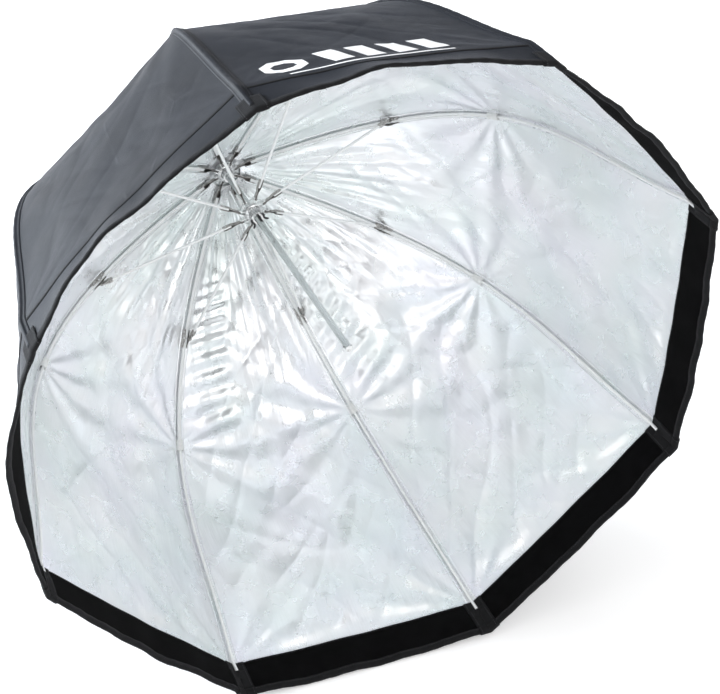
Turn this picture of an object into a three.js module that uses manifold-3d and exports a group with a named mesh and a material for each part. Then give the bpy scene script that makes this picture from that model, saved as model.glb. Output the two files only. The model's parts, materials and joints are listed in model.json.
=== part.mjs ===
// Octabox on an umbrella frame: eight ribs hinge on a crown hub, eight stretchers hinge on a runner
// that slides along the shaft, and eight fabric gores with a loop-tape rim band hang on the ribs.
// Millimetres. The shaft lies along Y with the mouth towards -Y and +Z up.
// The origin is the centre of the flat end face of the shaft.
import * as THREE from 'three';
import { mergeVertices } from 'three/addons/utils/BufferGeometryUtils.js';
import Module from 'manifold-3d';

// Depths are distances from the crown plane towards the mouth, radii are from the shaft's axis.
const SIDES = 8;
const SECTOR = (2 * Math.PI) / SIDES;
const HALF_SECTOR = SECTOR / 2;
const SHAFT_FACE_DEPTH = 398;
const RIM_RADIUS = 400;
const RIM_DEPTH = 504;
const SILVER_EDGE = new THREE.Vector2(396.8, 453.8);

// Shaft
const SHAFT_RADIUS = 4;
const SHAFT_BORE_RADIUS = 3.2;
const SHAFT_TOP_DEPTH = -9.5;
const SHAFT_TUBE_END_DEPTH = 396;
const ROUND_STEPS = 16;
const SLIDING_BORE_RADIUS = 4.4;
const SIGHT_HOLE_DEPTH = 174;
const SIGHT_HOLE_RADIUS = 1.2;
const SIGHT_HOLE_ANGLE = (2 * Math.PI) / 3;
const STOP_PIN_DEPTH = 392.4;
const STOP_PIN_RADIUS = 0.7;
const STOP_PIN_LENGTH = 10.4;

// Crown hub
const HUB_RADIUS = 17;
const HUB_HALF_HEIGHT = 6;
const HUB_COLLAR_RADIUS = 7;
const HUB_COLLAR_DEPTH = 12;
const HUB_CHAMFER = 1.5;
const RIB_PIVOT_RADIUS = 14;
const RIB_EYE_THICKNESS = 2.4;
const RIB_EYE_CLEARANCE = 3.6;
const RUNNING_GAP = 0.3;
const WIRE_RADIUS = 0.7;
const WIRE_GROOVE_HALF_HEIGHT = 1.1;
const WIRE_GROOVE_DEPTH = 1.2;
const SLOT_OVERCUT = 4;

// Runner
const RUNNER_DEPTH = 97;
const RUNNER_RADIUS = 21;
const RUNNER_HALF_HEIGHT = 4;
const RUNNER_SLEEVE_RADIUS = 6.6;
const RUNNER_SLEEVE_BACK = -8;
const RUNNER_SLEEVE_FRONT = 17;
const STRETCHER_PIVOT_RADIUS = 17;
const STRETCHER_SIDE_OFFSET = 4.6;
const STRETCHER_EYE_THICKNESS = 2;
const STRETCHER_EYE_CLEARANCE = 4.5;
const STRETCHER_ROD_RADIUS = 1.5;
const RUNNER_FITTING_LENGTH = 24;
const BRACKET_FITTING_LENGTH = 14;
const ROD_START_FROM_RUNNER = 16;
const ROD_END_FROM_BRACKET = 9;

// Catch that holds the runner open
const CATCH_GAP = 0.6;
const CATCH_LENGTH = 13;
const CATCH_WIDTH = 2.4;
const CATCH_TOP_RADIUS = 5.5;
const CATCH_FOOT_RADIUS = 2.4;
const CATCH_KEYWAY_RADIUS = 5.9;
const CATCH_FACE_LENGTH = 3;

// Ribs: one smooth curve in the plane of the rib, from the crown pivot to the silver's edge
const RIB_CURVE = new THREE.CubicBezierCurve(
  new THREE.Vector2(RIB_PIVOT_RADIUS, 0),
  new THREE.Vector2(376, 90),
  new THREE.Vector2(330, 253),
  new THREE.Vector2(393, 455),
);
const BRACKET_SHARE = 0.222;
const TIE_SHARE = 0.446;
const RIB_RADIUS = 2.4;
const TIP_ROD_RADIUS = 1.8;
const TIP_OVERHANG = 13;
const TIE_JOINT_GAP = 1;
const BRACKET_PIVOT_INSET = 2.5;
const ROD_START_SHARE = 0.018;
const RIB_FITTING_LENGTH = 26;
const EYE_HALF_HEIGHT = 2.2;
const SADDLE_INSET = 1.4;
const SADDLE_HALF_LENGTH = 10;
const SADDLE_HALF_HEIGHT = 2.8;
const SADDLE_WIDTH = 5.6;

// Fabric
const FABRIC_THICKNESS = 1.2;
const FABRIC_OFFSET = 4.4;
const SEAM_GAP = 0.5;
const BAND_INNER_DEPTH = 457;
const BAND_OUTER_DEPTH = 502.5;
const BAND_THICKNESS = 1.6;
const BAND_INSET = 1.9;
const BAND_CORNER_TRIM = 14;
const POCKET_WIDTH = 24;
const POCKET_INNER_DEPTH = 462;
const POCKET_OUTER_DEPTH = 482;
const POCKET_FOLD_DEPTH = 506.2;
const WEBBING_THICKNESS = 1.2;

// Catch, sleeve and shaft slot share these depths.
const CATCH_DEPTH = RUNNER_DEPTH + RUNNER_SLEEVE_FRONT + CATCH_GAP;

const wasm = await Module();
wasm.setup();

function material(color, roughness, metalness) {
  return new THREE.MeshStandardMaterial({ color, roughness, metalness });
}

const finishes = {
  shaftSteel: material(0x9aa1a4, 0.3, 0.9),
  darkSteel: material(0x4c4d4e, 0.45, 0.8),
  ribWhite: material(0xe8ecec, 0.4, 0.1),
  blackPlastic: material(0x151515, 0.5, 0),
  canopyFabric: material(0x1d1e20, 0.75, 0),
  loopTape: material(0x080808, 0.95, 0),
  webbing: material(0x121212, 0.85, 0),
};

function toSolid(geometry) {
  const bare = geometry.clone();
  bare.deleteAttribute('normal');
  bare.deleteAttribute('uv');
  const merged = mergeVertices(bare, 1e-4);
  return new wasm.Manifold(new wasm.Mesh({
    numProp: 3,
    vertProperties: new Float32Array(merged.attributes.position.array),
    triVerts: new Uint32Array(merged.index.array),
  }));
}

function toGeometry(solid) {
  const mesh = solid.getMesh();
  const geometry = new THREE.BufferGeometry();
  geometry.setAttribute('position', new THREE.BufferAttribute(mesh.vertProperties, 3));
  geometry.setIndex(new THREE.BufferAttribute(mesh.triVerts, 1));
  return geometry;
}

function union(geometries) {
  return geometries.map(toSolid).reduce((sum, solid) => sum.add(solid));
}

// Turned part about the depth axis; the profile holds [radius, depth] pairs.
function turned(profile, steps = ROUND_STEPS) {
  const points = profile.map(([radius, depth]) => new THREE.Vector2(radius, depth));
  return new THREE.LatheGeometry(points, steps).rotateX(Math.PI / 2);
}

// Ring with a rectangular section.
function ring(innerRadius, outerRadius, startDepth, endDepth, steps = ROUND_STEPS) {
  return turned([
    [innerRadius, startDepth],
    [outerRadius, startDepth],
    [outerRadius, endDepth],
    [innerRadius, endDepth],
    [innerRadius, startDepth],
  ], steps);
}

function block(width, height, length, x, y, z) {
  return new THREE.BoxGeometry(width, height, length).translate(x, y, z);
}

// Plate in the rib's plane: it runs from start to end with rounded ends and an eye hole at start.
function linkPlate(start, end, halfHeight, thickness, sideOffset, holeRadius = 0) {
  const turn = Math.atan2(end.y - start.y, end.x - start.x);
  const quarter = Math.PI / 2;
  const outline = new THREE.Shape();
  outline.absarc(start.x, start.y, halfHeight, turn + quarter, turn + 3 * quarter, false);
  outline.absarc(end.x, end.y, halfHeight, turn - quarter, turn + quarter, false);
  outline.closePath();
  if (holeRadius > 0) {
    outline.holes.push(new THREE.Path().absarc(start.x, start.y, holeRadius, 0, 2 * Math.PI, true));
  }
  const plate = new THREE.ExtrudeGeometry(outline, {
    depth: thickness,
    bevelEnabled: false,
    curveSegments: 3,
  });
  return plate.rotateX(quarter).translate(0, sideOffset + thickness / 2, 0);
}

// Round rod through points of the rib's plane.
function rod(points, radius, steps, sides) {
  const path = new THREE.CatmullRomCurve3(points.map((p) => new THREE.Vector3(p.x, 0, p.y)));
  const section = new THREE.Shape();
  for (let i = 0; i < sides; i += 1) {
    const turn = (2 * Math.PI * (i + 0.5)) / sides;
    const corner = [radius * Math.cos(turn), radius * Math.sin(turn)];
    if (i === 0) section.moveTo(...corner);
    else section.lineTo(...corner);
  }
  section.closePath();
  return new THREE.ExtrudeGeometry(section, { steps, extrudePath: path });
}

function along(from, to, distance) {
  return to.clone().sub(from).setLength(distance).add(from);
}

// Points of the rib's curve between two shares of its length parameter.
function ribPoints(startShare, endShare, count) {
  const points = [];
  for (let i = 0; i <= count; i += 1) {
    points.push(RIB_CURVE.getPoint(startShare + ((endShare - startShare) * i) / count));
  }
  return points;
}

// Unit vector that points from the rib towards the inside of the canopy.
function inward(share) {
  const tangent = RIB_CURVE.getTangent(share);
  return new THREE.Vector2(-tangent.y, tangent.x);
}

const bracketOnRib = RIB_CURVE.getPoint(BRACKET_SHARE);
const bracketPivot = bracketOnRib.clone().addScaledVector(inward(BRACKET_SHARE), BRACKET_PIVOT_INSET);
const ribPivot = RIB_CURVE.getPoint(0);
const runnerPivot = new THREE.Vector2(STRETCHER_PIVOT_RADIUS, RUNNER_DEPTH);

// --- shaft and its small parts ---

function shaftTube() {
  const tube = toSolid(ring(SHAFT_BORE_RADIUS, SHAFT_RADIUS, SHAFT_TOP_DEPTH, SHAFT_TUBE_END_DEPTH));
  const slot = block(
    CATCH_WIDTH + 2 * RUNNING_GAP,
    2 * SHAFT_RADIUS,
    CATCH_LENGTH + 2 * RUNNING_GAP,
    0,
    SHAFT_RADIUS,
    CATCH_DEPTH + CATCH_LENGTH / 2,
  );
  const sightHole = roundPin(SIGHT_HOLE_RADIUS, 2 * SHAFT_RADIUS, 10)
    .translate(0, SHAFT_RADIUS, SIGHT_HOLE_DEPTH)
    .rotateZ(SIGHT_HOLE_ANGLE - Math.PI / 2);
  const pinHole = stopPin(STOP_PIN_RADIUS + RUNNING_GAP, 4 * SHAFT_RADIUS);
  const slotted = tube.subtract(toSolid(slot));
  return toGeometry(slotted.subtract(toSolid(sightHole)).subtract(toSolid(pinHole)));
}

function roundPin(radius, length, steps) {
  return new THREE.CylinderGeometry(radius, radius, length, steps);
}

function stopPin(radius, length) {
  return roundPin(radius, length, 8).rotateZ(Math.PI / 2).translate(0, 0, STOP_PIN_DEPTH);
}

function shaftEndPlug() {
  const studRadius = SHAFT_BORE_RADIUS - 2 * RUNNING_GAP;
  const studDepth = STOP_PIN_DEPTH + 2;
  return turned([
    [0, studDepth],
    [studRadius, studDepth],
    [studRadius, SHAFT_TUBE_END_DEPTH + RUNNING_GAP],
    [SHAFT_RADIUS, SHAFT_TUBE_END_DEPTH + RUNNING_GAP],
    [SHAFT_RADIUS, SHAFT_FACE_DEPTH],
    [0, SHAFT_FACE_DEPTH],
  ]);
}

// Wedge in the shaft's slot: its steep face stops the runner's sleeve.
function catchWedge() {
  const wedge = new THREE.Shape([
    new THREE.Vector2(CATCH_DEPTH, CATCH_FOOT_RADIUS),
    new THREE.Vector2(CATCH_DEPTH + CATCH_LENGTH, CATCH_FOOT_RADIUS),
    new THREE.Vector2(CATCH_DEPTH + CATCH_LENGTH, SHAFT_RADIUS - 0.1),
    new THREE.Vector2(CATCH_DEPTH + CATCH_FACE_LENGTH, CATCH_TOP_RADIUS),
    new THREE.Vector2(CATCH_DEPTH, CATCH_TOP_RADIUS),
  ]);
  return new THREE.ExtrudeGeometry(wedge, { depth: CATCH_WIDTH, bevelEnabled: false })
    .translate(0, 0, -CATCH_WIDTH / 2)
    .rotateY(-Math.PI / 2);
}

// Leaf spring inside the shaft, bowed up under the catch.
function catchSpring() {
  const middle = CATCH_DEPTH + CATCH_LENGTH / 2;
  const leafTop = 0.4;
  const leafEnd = -2.2;
  const leafReach = 13;
  const leafThickness = 0.5;
  const bowHeight = 2 * leafTop - leafEnd;
  const start = middle - leafReach;
  const end = middle + leafReach;
  const leaf = new THREE.Shape();
  leaf.moveTo(start, leafEnd);
  leaf.quadraticCurveTo(middle, bowHeight, end, leafEnd);
  leaf.lineTo(end, leafEnd - leafThickness);
  leaf.quadraticCurveTo(middle, bowHeight - leafThickness, start, leafEnd - leafThickness);
  leaf.closePath();
  const leafWidth = 1.6;
  return new THREE.ExtrudeGeometry(leaf, { depth: leafWidth, bevelEnabled: false, curveSegments: 6 })
    .translate(0, 0, -leafWidth / 2)
    .rotateY(-Math.PI / 2);
}

// --- crown ---

// Wire bent to eight straight sides, one through each hinge eye.
function hingeWire(pivotRadius, depth) {
  return new THREE.TorusGeometry(pivotRadius / Math.cos(HALF_SECTOR), WIRE_RADIUS, 6, SIDES)
    .translate(0, 0, depth);
}

// Cuts one slot per rib, and the groove for the hinge wire.
function slottedDisc(body, pivotRadius, outerRadius, depth, slotStart, slotWidth, sideOffset) {
  const reach = outerRadius + SLOT_OVERCUT;
  const groove = ring(
    pivotRadius - WIRE_GROOVE_DEPTH,
    reach,
    depth - WIRE_GROOVE_HALF_HEIGHT,
    depth + WIRE_GROOVE_HALF_HEIGHT,
  );
  let cut = toSolid(body).subtract(toSolid(groove));
  for (let i = 0; i < SIDES; i += 1) {
    const slot = block(
      reach - slotStart,
      slotWidth,
      3 * HUB_RADIUS,
      (reach + slotStart) / 2,
      sideOffset,
      depth,
    ).rotateZ(HALF_SECTOR + i * SECTOR);
    cut = cut.subtract(toSolid(slot));
  }
  return cut;
}

function crownHub() {
  const body = turned([
    [SLIDING_BORE_RADIUS, -HUB_HALF_HEIGHT],
    [HUB_RADIUS - HUB_CHAMFER, -HUB_HALF_HEIGHT],
    [HUB_RADIUS, -HUB_HALF_HEIGHT + HUB_CHAMFER],
    [HUB_RADIUS, HUB_HALF_HEIGHT - HUB_CHAMFER],
    [HUB_RADIUS - HUB_CHAMFER, HUB_HALF_HEIGHT],
    [HUB_COLLAR_RADIUS, HUB_HALF_HEIGHT],
    [HUB_COLLAR_RADIUS, HUB_COLLAR_DEPTH],
    [SLIDING_BORE_RADIUS, HUB_COLLAR_DEPTH],
    [SLIDING_BORE_RADIUS, -HUB_HALF_HEIGHT],
  ]);
  const slotStart = RIB_PIVOT_RADIUS - RIB_EYE_CLEARANCE;
  const slotWidth = RIB_EYE_THICKNESS + 2 * RUNNING_GAP;
  return toGeometry(slottedDisc(body, RIB_PIVOT_RADIUS, HUB_RADIUS, 0, slotStart, slotWidth, 0));
}

// Domed cap behind the canopy, with a stud that enters the shaft.
function crownCap() {
  const capRadius = 8.5;
  const capHeight = 8.8;
  const capFoot = SHAFT_TOP_DEPTH - 0.7;
  const studRadius = SHAFT_BORE_RADIUS - 2 * RUNNING_GAP;
  const studEnd = capFoot + 8;
  return turned([
    [0, capFoot - capHeight],
    [capRadius * 0.6, capFoot - capHeight + 1.2],
    [capRadius * 0.94, capFoot - capHeight + 4.8],
    [capRadius, capFoot],
    [studRadius, capFoot],
    [studRadius, studEnd],
    [0, studEnd],
  ]);
}

// Reinforcing disc of fabric behind the hub; the gores' points are sewn to it.
function crownPatch() {
  const skin = 1;
  const hole = { radius: 5.2, depth: -9.5 };
  const shoulder = { radius: 17, depth: -8.5 };
  const hem = { radius: 33, depth: -4.1 };
  return turned([
    [hole.radius, hole.depth],
    [shoulder.radius, shoulder.depth],
    [hem.radius, hem.depth],
    [hem.radius, hem.depth + skin],
    [shoulder.radius, shoulder.depth + skin],
    [hole.radius, hole.depth + skin],
    [hole.radius, hole.depth],
  ]);
}

// --- runner and stretchers ---

function runner() {
  const body = turned([
    [SLIDING_BORE_RADIUS, RUNNER_DEPTH + RUNNER_SLEEVE_BACK],
    [RUNNER_SLEEVE_RADIUS, RUNNER_DEPTH + RUNNER_SLEEVE_BACK],
    [RUNNER_SLEEVE_RADIUS, RUNNER_DEPTH - RUNNER_HALF_HEIGHT],
    [RUNNER_RADIUS, RUNNER_DEPTH - RUNNER_HALF_HEIGHT],
    [RUNNER_RADIUS, RUNNER_DEPTH + RUNNER_HALF_HEIGHT],
    [RUNNER_SLEEVE_RADIUS, RUNNER_DEPTH + RUNNER_HALF_HEIGHT],
    [RUNNER_SLEEVE_RADIUS, RUNNER_DEPTH + RUNNER_SLEEVE_FRONT],
    [SLIDING_BORE_RADIUS, RUNNER_DEPTH + RUNNER_SLEEVE_FRONT],
    [SLIDING_BORE_RADIUS, RUNNER_DEPTH + RUNNER_SLEEVE_BACK],
  ]);
  const cut = slottedDisc(
    body,
    STRETCHER_PIVOT_RADIUS,
    RUNNER_RADIUS,
    RUNNER_DEPTH,
    STRETCHER_PIVOT_RADIUS - STRETCHER_EYE_CLEARANCE,
    STRETCHER_EYE_THICKNESS + 4 * RUNNING_GAP,
    STRETCHER_SIDE_OFFSET,
  );
  const keyway = block(
    CATCH_WIDTH + 4 * RUNNING_GAP,
    CATCH_KEYWAY_RADIUS,
    6 * RUNNER_SLEEVE_FRONT,
    0,
    CATCH_KEYWAY_RADIUS / 2,
    RUNNER_DEPTH,
  );
  return toGeometry(cut.subtract(toSolid(keyway)));
}

// Stretcher beside the rib: an eye fitting on the runner's wire, a thin rod, an eye at the bracket.
function stretcher() {
  const eyeHole = WIRE_RADIUS + RUNNING_GAP + 0.1;
  const runnerFitting = linkPlate(
    runnerPivot,
    along(runnerPivot, bracketPivot, RUNNER_FITTING_LENGTH),
    EYE_HALF_HEIGHT,
    STRETCHER_EYE_THICKNESS,
    STRETCHER_SIDE_OFFSET,
    eyeHole,
  );
  const bracketFitting = linkPlate(
    bracketPivot,
    along(bracketPivot, runnerPivot, BRACKET_FITTING_LENGTH),
    EYE_HALF_HEIGHT,
    STRETCHER_EYE_THICKNESS,
    STRETCHER_SIDE_OFFSET,
    eyeHole,
  );
  const rodPoints = [
    along(runnerPivot, bracketPivot, ROD_START_FROM_RUNNER),
    along(bracketPivot, runnerPivot, ROD_END_FROM_BRACKET),
  ];
  const bar = rod(rodPoints, STRETCHER_ROD_RADIUS, 1, 6).translate(0, STRETCHER_SIDE_OFFSET, 0);
  return toGeometry(union([runnerFitting, bar, bracketFitting]));
}

// --- ribs ---

const bandSlope = new THREE.Vector2(RIM_RADIUS - SILVER_EDGE.x, RIM_DEPTH - SILVER_EDGE.y);

// Inner rib: hinge eye, curved rod and the saddle bracket that carries the stretcher.
function innerRib() {
  const rodStart = RIB_CURVE.getPoint(ROD_START_SHARE);
  const eye = linkPlate(
    ribPivot,
    along(ribPivot, rodStart, RIB_FITTING_LENGTH),
    EYE_HALF_HEIGHT,
    RIB_EYE_THICKNESS,
    0,
    WIRE_RADIUS + RUNNING_GAP,
  );
  const points = ribPoints(ROD_START_SHARE, TIE_SHARE, 8);
  points[points.length - 1] = along(points.at(-1), points.at(-2), TIE_JOINT_GAP);
  const bar = rod(points, RIB_RADIUS, 8, 6);
  const saddleInset = inward(BRACKET_SHARE).multiplyScalar(SADDLE_INSET);
  const saddleHalfLength = RIB_CURVE.getTangent(BRACKET_SHARE).multiplyScalar(SADDLE_HALF_LENGTH);
  const saddleCentre = bracketOnRib.clone().add(saddleInset);
  const saddle = linkPlate(
    saddleCentre.clone().sub(saddleHalfLength),
    saddleCentre.clone().add(saddleHalfLength),
    SADDLE_HALF_HEIGHT,
    SADDLE_WIDTH,
    0,
  );
  return toGeometry(union([eye, bar, saddle]));
}

// Outer rib: thin rod from the seam tie to its tip, which overhangs the rim band.
function outerRib() {
  const points = ribPoints(TIE_SHARE, 1, 8);
  points[0] = along(points[0], points[1], TIE_JOINT_GAP);
  points.push(points.at(-1).clone().add(bandSlope.clone().setLength(TIP_OVERHANG)));
  return rod(points, TIP_ROD_RADIUS, 10, 6);
}

// --- fabric ---

// Profile of the canopy in the rib's plane, from beside the hub to the rim.
function canopyProfile() {
  const count = 13;
  const startShare = 0.006;
  const points = [];
  for (let i = 0; i <= count; i += 1) {
    const share = startShare + ((1 - startShare) * i) / count;
    points.push(RIB_CURVE.getPoint(share).addScaledVector(inward(share), -FABRIC_OFFSET));
  }
  points.push(new THREE.Vector2(RIM_RADIUS, RIM_DEPTH));
  return points;
}

// Closed sheet between two ribs. It is straight across, so in its middle plane every radius is
// shortened by the cosine of half a sector.
function sheet(profile, thickness, inset, sideTrim) {
  const middle = profile.map((p) => new THREE.Vector2(p.x * Math.cos(HALF_SECTOR), p.y));
  const last = profile.length - 1;
  const geometry = new THREE.BoxGeometry(2, 2, 2, 1, last, 1);
  const position = geometry.attributes.position;
  for (let i = 0; i < position.count; i += 1) {
    const row = Math.round(((position.getY(i) + 1) / 2) * last);
    const before = middle[Math.max(row - 1, 0)];
    const after = middle[Math.min(row + 1, last)];
    const tangent = after.clone().sub(before).normalize();
    const outward = new THREE.Vector2(tangent.y, -tangent.x);
    const offset = (position.getZ(i) * thickness) / 2 - inset;
    const point = middle[row].clone().addScaledVector(outward, offset);
    const halfWidth = point.x * Math.tan(HALF_SECTOR) - sideTrim;
    position.setXYZ(i, point.x, position.getX(i) * halfWidth, point.y);
  }
  return geometry;
}

const profile = canopyProfile();
const silverEdge = profile.at(-2);
const rim = profile.at(-1);

function rimPoint(depth) {
  return silverEdge.clone().lerp(rim, (depth - silverEdge.y) / (rim.y - silverEdge.y));
}

function band() {
  const strip = [rimPoint(BAND_INNER_DEPTH), rimPoint(BAND_OUTER_DEPTH)];
  return sheet(strip, BAND_THICKNESS, BAND_INSET, BAND_CORNER_TRIM);
}

// Webbing strap folded over the rim at a corner; the rib's tip sits under its inner leg.
function pocket() {
  const innerLeg = { radius: 388.8, depth: POCKET_INNER_DEPTH };
  const innerFold = { radius: 391.6, depth: POCKET_FOLD_DEPTH };
  const outerFold = { radius: 403.4, depth: POCKET_FOLD_DEPTH };
  const outerLeg = { radius: 402.2, depth: POCKET_OUTER_DEPTH };
  const foldInside = POCKET_FOLD_DEPTH - WEBBING_THICKNESS;
  const hook = new THREE.Shape([
    new THREE.Vector2(innerLeg.radius, innerLeg.depth),
    new THREE.Vector2(innerFold.radius, innerFold.depth),
    new THREE.Vector2(outerFold.radius, outerFold.depth),
    new THREE.Vector2(outerLeg.radius, outerLeg.depth),
    new THREE.Vector2(outerLeg.radius - WEBBING_THICKNESS, outerLeg.depth),
    new THREE.Vector2(outerFold.radius - WEBBING_THICKNESS, foldInside),
    new THREE.Vector2(innerFold.radius + WEBBING_THICKNESS, foldInside),
    new THREE.Vector2(innerLeg.radius + WEBBING_THICKNESS, innerLeg.depth),
  ]);
  return new THREE.ExtrudeGeometry(hook, { depth: POCKET_WIDTH, bevelEnabled: false })
    .rotateX(Math.PI / 2)
    .translate(0, POCKET_WIDTH / 2, 0);
}

// --- assembly ---

// Inside this group Z is depth, X and Y span the mouth, and Y is up.
const umbrella = new THREE.Group();
umbrella.rotation.x = Math.PI / 2;
umbrella.position.y = SHAFT_FACE_DEPTH;

function addPart(parent, name, geometry, finish) {
  const mesh = new THREE.Mesh(geometry, finish);
  mesh.name = name;
  parent.add(mesh);
}

function addSpoke(angle) {
  const spoke = new THREE.Group();
  spoke.rotation.z = angle;
  umbrella.add(spoke);
  return spoke;
}

addPart(umbrella, 'shaft_tube', shaftTube(), finishes.shaftSteel);
addPart(umbrella, 'shaft_end_plug', shaftEndPlug(), finishes.darkSteel);
addPart(umbrella, 'stop_pin', stopPin(STOP_PIN_RADIUS, STOP_PIN_LENGTH), finishes.darkSteel);
addPart(umbrella, 'runner_catch', catchWedge(), finishes.blackPlastic);
addPart(umbrella, 'catch_spring', catchSpring(), finishes.shaftSteel);
addPart(umbrella, 'crown_hub', crownHub(), finishes.darkSteel);
addPart(umbrella, 'crown_wire', hingeWire(RIB_PIVOT_RADIUS, 0), finishes.shaftSteel);
addPart(umbrella, 'crown_cap', crownCap(), finishes.blackPlastic);
addPart(umbrella, 'crown_patch', crownPatch(), finishes.canopyFabric);
addPart(umbrella, 'runner', runner(), finishes.darkSteel);
addPart(umbrella, 'runner_wire', hingeWire(STRETCHER_PIVOT_RADIUS, RUNNER_DEPTH), finishes.shaftSteel);

const ribGeometry = innerRib();
const tipGeometry = outerRib();
const stretcherGeometry = stretcher();
const pocketGeometry = pocket();
const goreGeometry = sheet(profile, FABRIC_THICKNESS, 0, SEAM_GAP);
const bandGeometry = band();

for (let i = 0; i < SIDES; i += 1) {
  const number = i + 1;
  const ribSpoke = addSpoke(HALF_SECTOR + i * SECTOR);
  addPart(ribSpoke, `rib_inner_${number}`, ribGeometry, finishes.ribWhite);
  addPart(ribSpoke, `rib_outer_${number}`, tipGeometry, finishes.ribWhite);
  addPart(ribSpoke, `stretcher_${number}`, stretcherGeometry, finishes.ribWhite);
  addPart(ribSpoke, `corner_pocket_${number}`, pocketGeometry, finishes.webbing);
  const panelSpoke = addSpoke(i * SECTOR);
  addPart(panelSpoke, `gore_${number}`, goreGeometry, finishes.canopyFabric);
  addPart(panelSpoke, `rim_band_${number}`, bandGeometry, finishes.loopTape);
}

const octabox = new THREE.Group();
octabox.add(umbrella);

export default octabox;
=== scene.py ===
"""Octabox on an umbrella frame: its looks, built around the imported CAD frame.

Metres. The shaft lies along Y with the mouth towards -Y, and +Z is up. A spoke's own coordinates are
its radius from the shaft, its sideways offset and its depth from the crown towards the mouth. A panel's
own coordinates are side, from its middle line, and s, along that line from the hub to the rim.
"""

import json
import math

import bpy
import numpy as np
from mathutils import Matrix, Vector


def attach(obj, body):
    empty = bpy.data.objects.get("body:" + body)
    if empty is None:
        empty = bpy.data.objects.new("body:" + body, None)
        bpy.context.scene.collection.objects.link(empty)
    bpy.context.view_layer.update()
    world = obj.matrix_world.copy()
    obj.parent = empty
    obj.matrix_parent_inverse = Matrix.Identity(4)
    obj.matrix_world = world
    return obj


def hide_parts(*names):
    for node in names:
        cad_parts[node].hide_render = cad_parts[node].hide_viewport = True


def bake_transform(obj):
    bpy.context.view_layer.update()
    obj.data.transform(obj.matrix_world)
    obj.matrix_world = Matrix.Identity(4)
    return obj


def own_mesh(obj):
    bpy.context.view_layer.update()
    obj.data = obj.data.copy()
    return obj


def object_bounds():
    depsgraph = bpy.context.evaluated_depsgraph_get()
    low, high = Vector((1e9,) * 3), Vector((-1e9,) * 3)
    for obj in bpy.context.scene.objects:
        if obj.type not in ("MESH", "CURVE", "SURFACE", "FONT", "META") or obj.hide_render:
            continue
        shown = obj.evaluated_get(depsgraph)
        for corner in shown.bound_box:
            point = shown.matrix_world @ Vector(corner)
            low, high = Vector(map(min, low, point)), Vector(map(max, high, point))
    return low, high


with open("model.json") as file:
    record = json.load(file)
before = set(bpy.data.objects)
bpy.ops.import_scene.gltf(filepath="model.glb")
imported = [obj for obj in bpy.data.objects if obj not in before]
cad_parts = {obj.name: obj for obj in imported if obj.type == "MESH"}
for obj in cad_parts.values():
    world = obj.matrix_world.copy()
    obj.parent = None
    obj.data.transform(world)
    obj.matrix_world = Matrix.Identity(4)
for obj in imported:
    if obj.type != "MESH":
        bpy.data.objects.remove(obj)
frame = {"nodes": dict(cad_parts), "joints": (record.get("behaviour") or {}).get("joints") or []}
cad_low, cad_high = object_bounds()

MM = 0.001
SIDES = 8
SECTOR = math.tau / SIDES
HALF_SECTOR = SECTOR / 2
SPOKES = range(1, SIDES + 1)
JOINTS = {joint["name"]: joint for joint in frame["joints"]}
CROWN_Y = JOINTS["rib_fold_1"]["pos_m"][1]
RUNNER_DEPTH = CROWN_Y - JOINTS["stretcher_fold_1"]["pos_m"][1]

# Ribs: the CAD's curve in the plane of a rib, as (radius, depth) control points.
RIB_CURVE = np.array([(14, 0), (376, 90), (330, 253), (393, 455)]) * MM
RIM = np.array([400, 504]) * MM
BRACKET_SHARE = 0.222
TIE_SHARE = 0.446
ROD_START_SHARE = 0.018
RIB_RADIUS = 2.4 * MM
TIP_RADIUS = 1.8 * MM
TIP_OVERHANG = 17 * MM
BRACKET_PIVOT_INSET = 2.5 * MM
STRETCHER_PIVOT_RADIUS = 17 * MM
STRETCHER_SIDE = 4.6 * MM
STRETCHER_RADIUS = 1.8 * MM

# Fabric
FABRIC_OFFSET = 4.4 * MM
CLOTH = 0.9 * MM
SEAM_GAP = 0.15 * MM
BAND_WIDTH = 47 * MM
PROFILE_STEPS = 900
KINK_SOFTENING = 15


# ---- small maths


def ease(x):
    """0 to 1 smoothly as x goes from 0 to 1."""
    x = np.clip(x, 0, 1)
    return x * x * (3 - 2 * x)


def window(x, start, rise, end, fall):
    """1 between start and end, with smooth ramps of widths rise and fall after them."""
    return ease((x - start) / rise) * (1 - ease((x - end) / fall))


def unit(v):
    v = np.asarray(v, float)
    return v / np.linalg.norm(v, axis=-1, keepdims=True)


def distances(points):
    """How far each point of a line is from its first, along the line."""
    step = np.linalg.norm(np.diff(points, axis=0), axis=1)
    return np.concatenate([[0], np.cumsum(step)])


def around(steps):
    """Angles of a full turn."""
    return np.linspace(0, math.tau, steps, endpoint=False)


def circle(turn, width=1.0, height=1.0):
    return np.stack([width * np.cos(turn), height * np.sin(turn)], -1)


def rib_at(share):
    """(radius, depth) on the rib's curve."""
    t = np.asarray(share, float)[..., None]
    a, b, c, d = RIB_CURVE
    return a * (1 - t) ** 3 + 3 * b * t * (1 - t) ** 2 + 3 * c * t**2 * (1 - t) + d * t**3


def rib_along(share):
    """Unit tangent of the rib's curve, towards the mouth."""
    t = np.asarray(share, float)[..., None]
    a, b, c, d = RIB_CURVE
    return unit((b - a) * (1 - t) ** 2 + 2 * (c - b) * t * (1 - t) + (d - c) * t**2)


def inward(tangent):
    """Turns a tangent in the rib's plane towards the inside of the canopy."""
    return np.stack([-tangent[..., 1], tangent[..., 0]], -1)


def cloth_at(share):
    """(radius, depth) of the fabric that lies against the rib."""
    return rib_at(share) - inward(rib_along(share)) * FABRIC_OFFSET


def spoke(angle, radius, side, depth):
    """Row-frame points from a spoke's coordinates."""
    radius, side, depth = np.broadcast_arrays(radius, side, depth)
    c, s = math.cos(angle), math.sin(angle)
    return np.stack([radius * c - side * s, CROWN_Y - depth, radius * s + side * c], -1)


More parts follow.
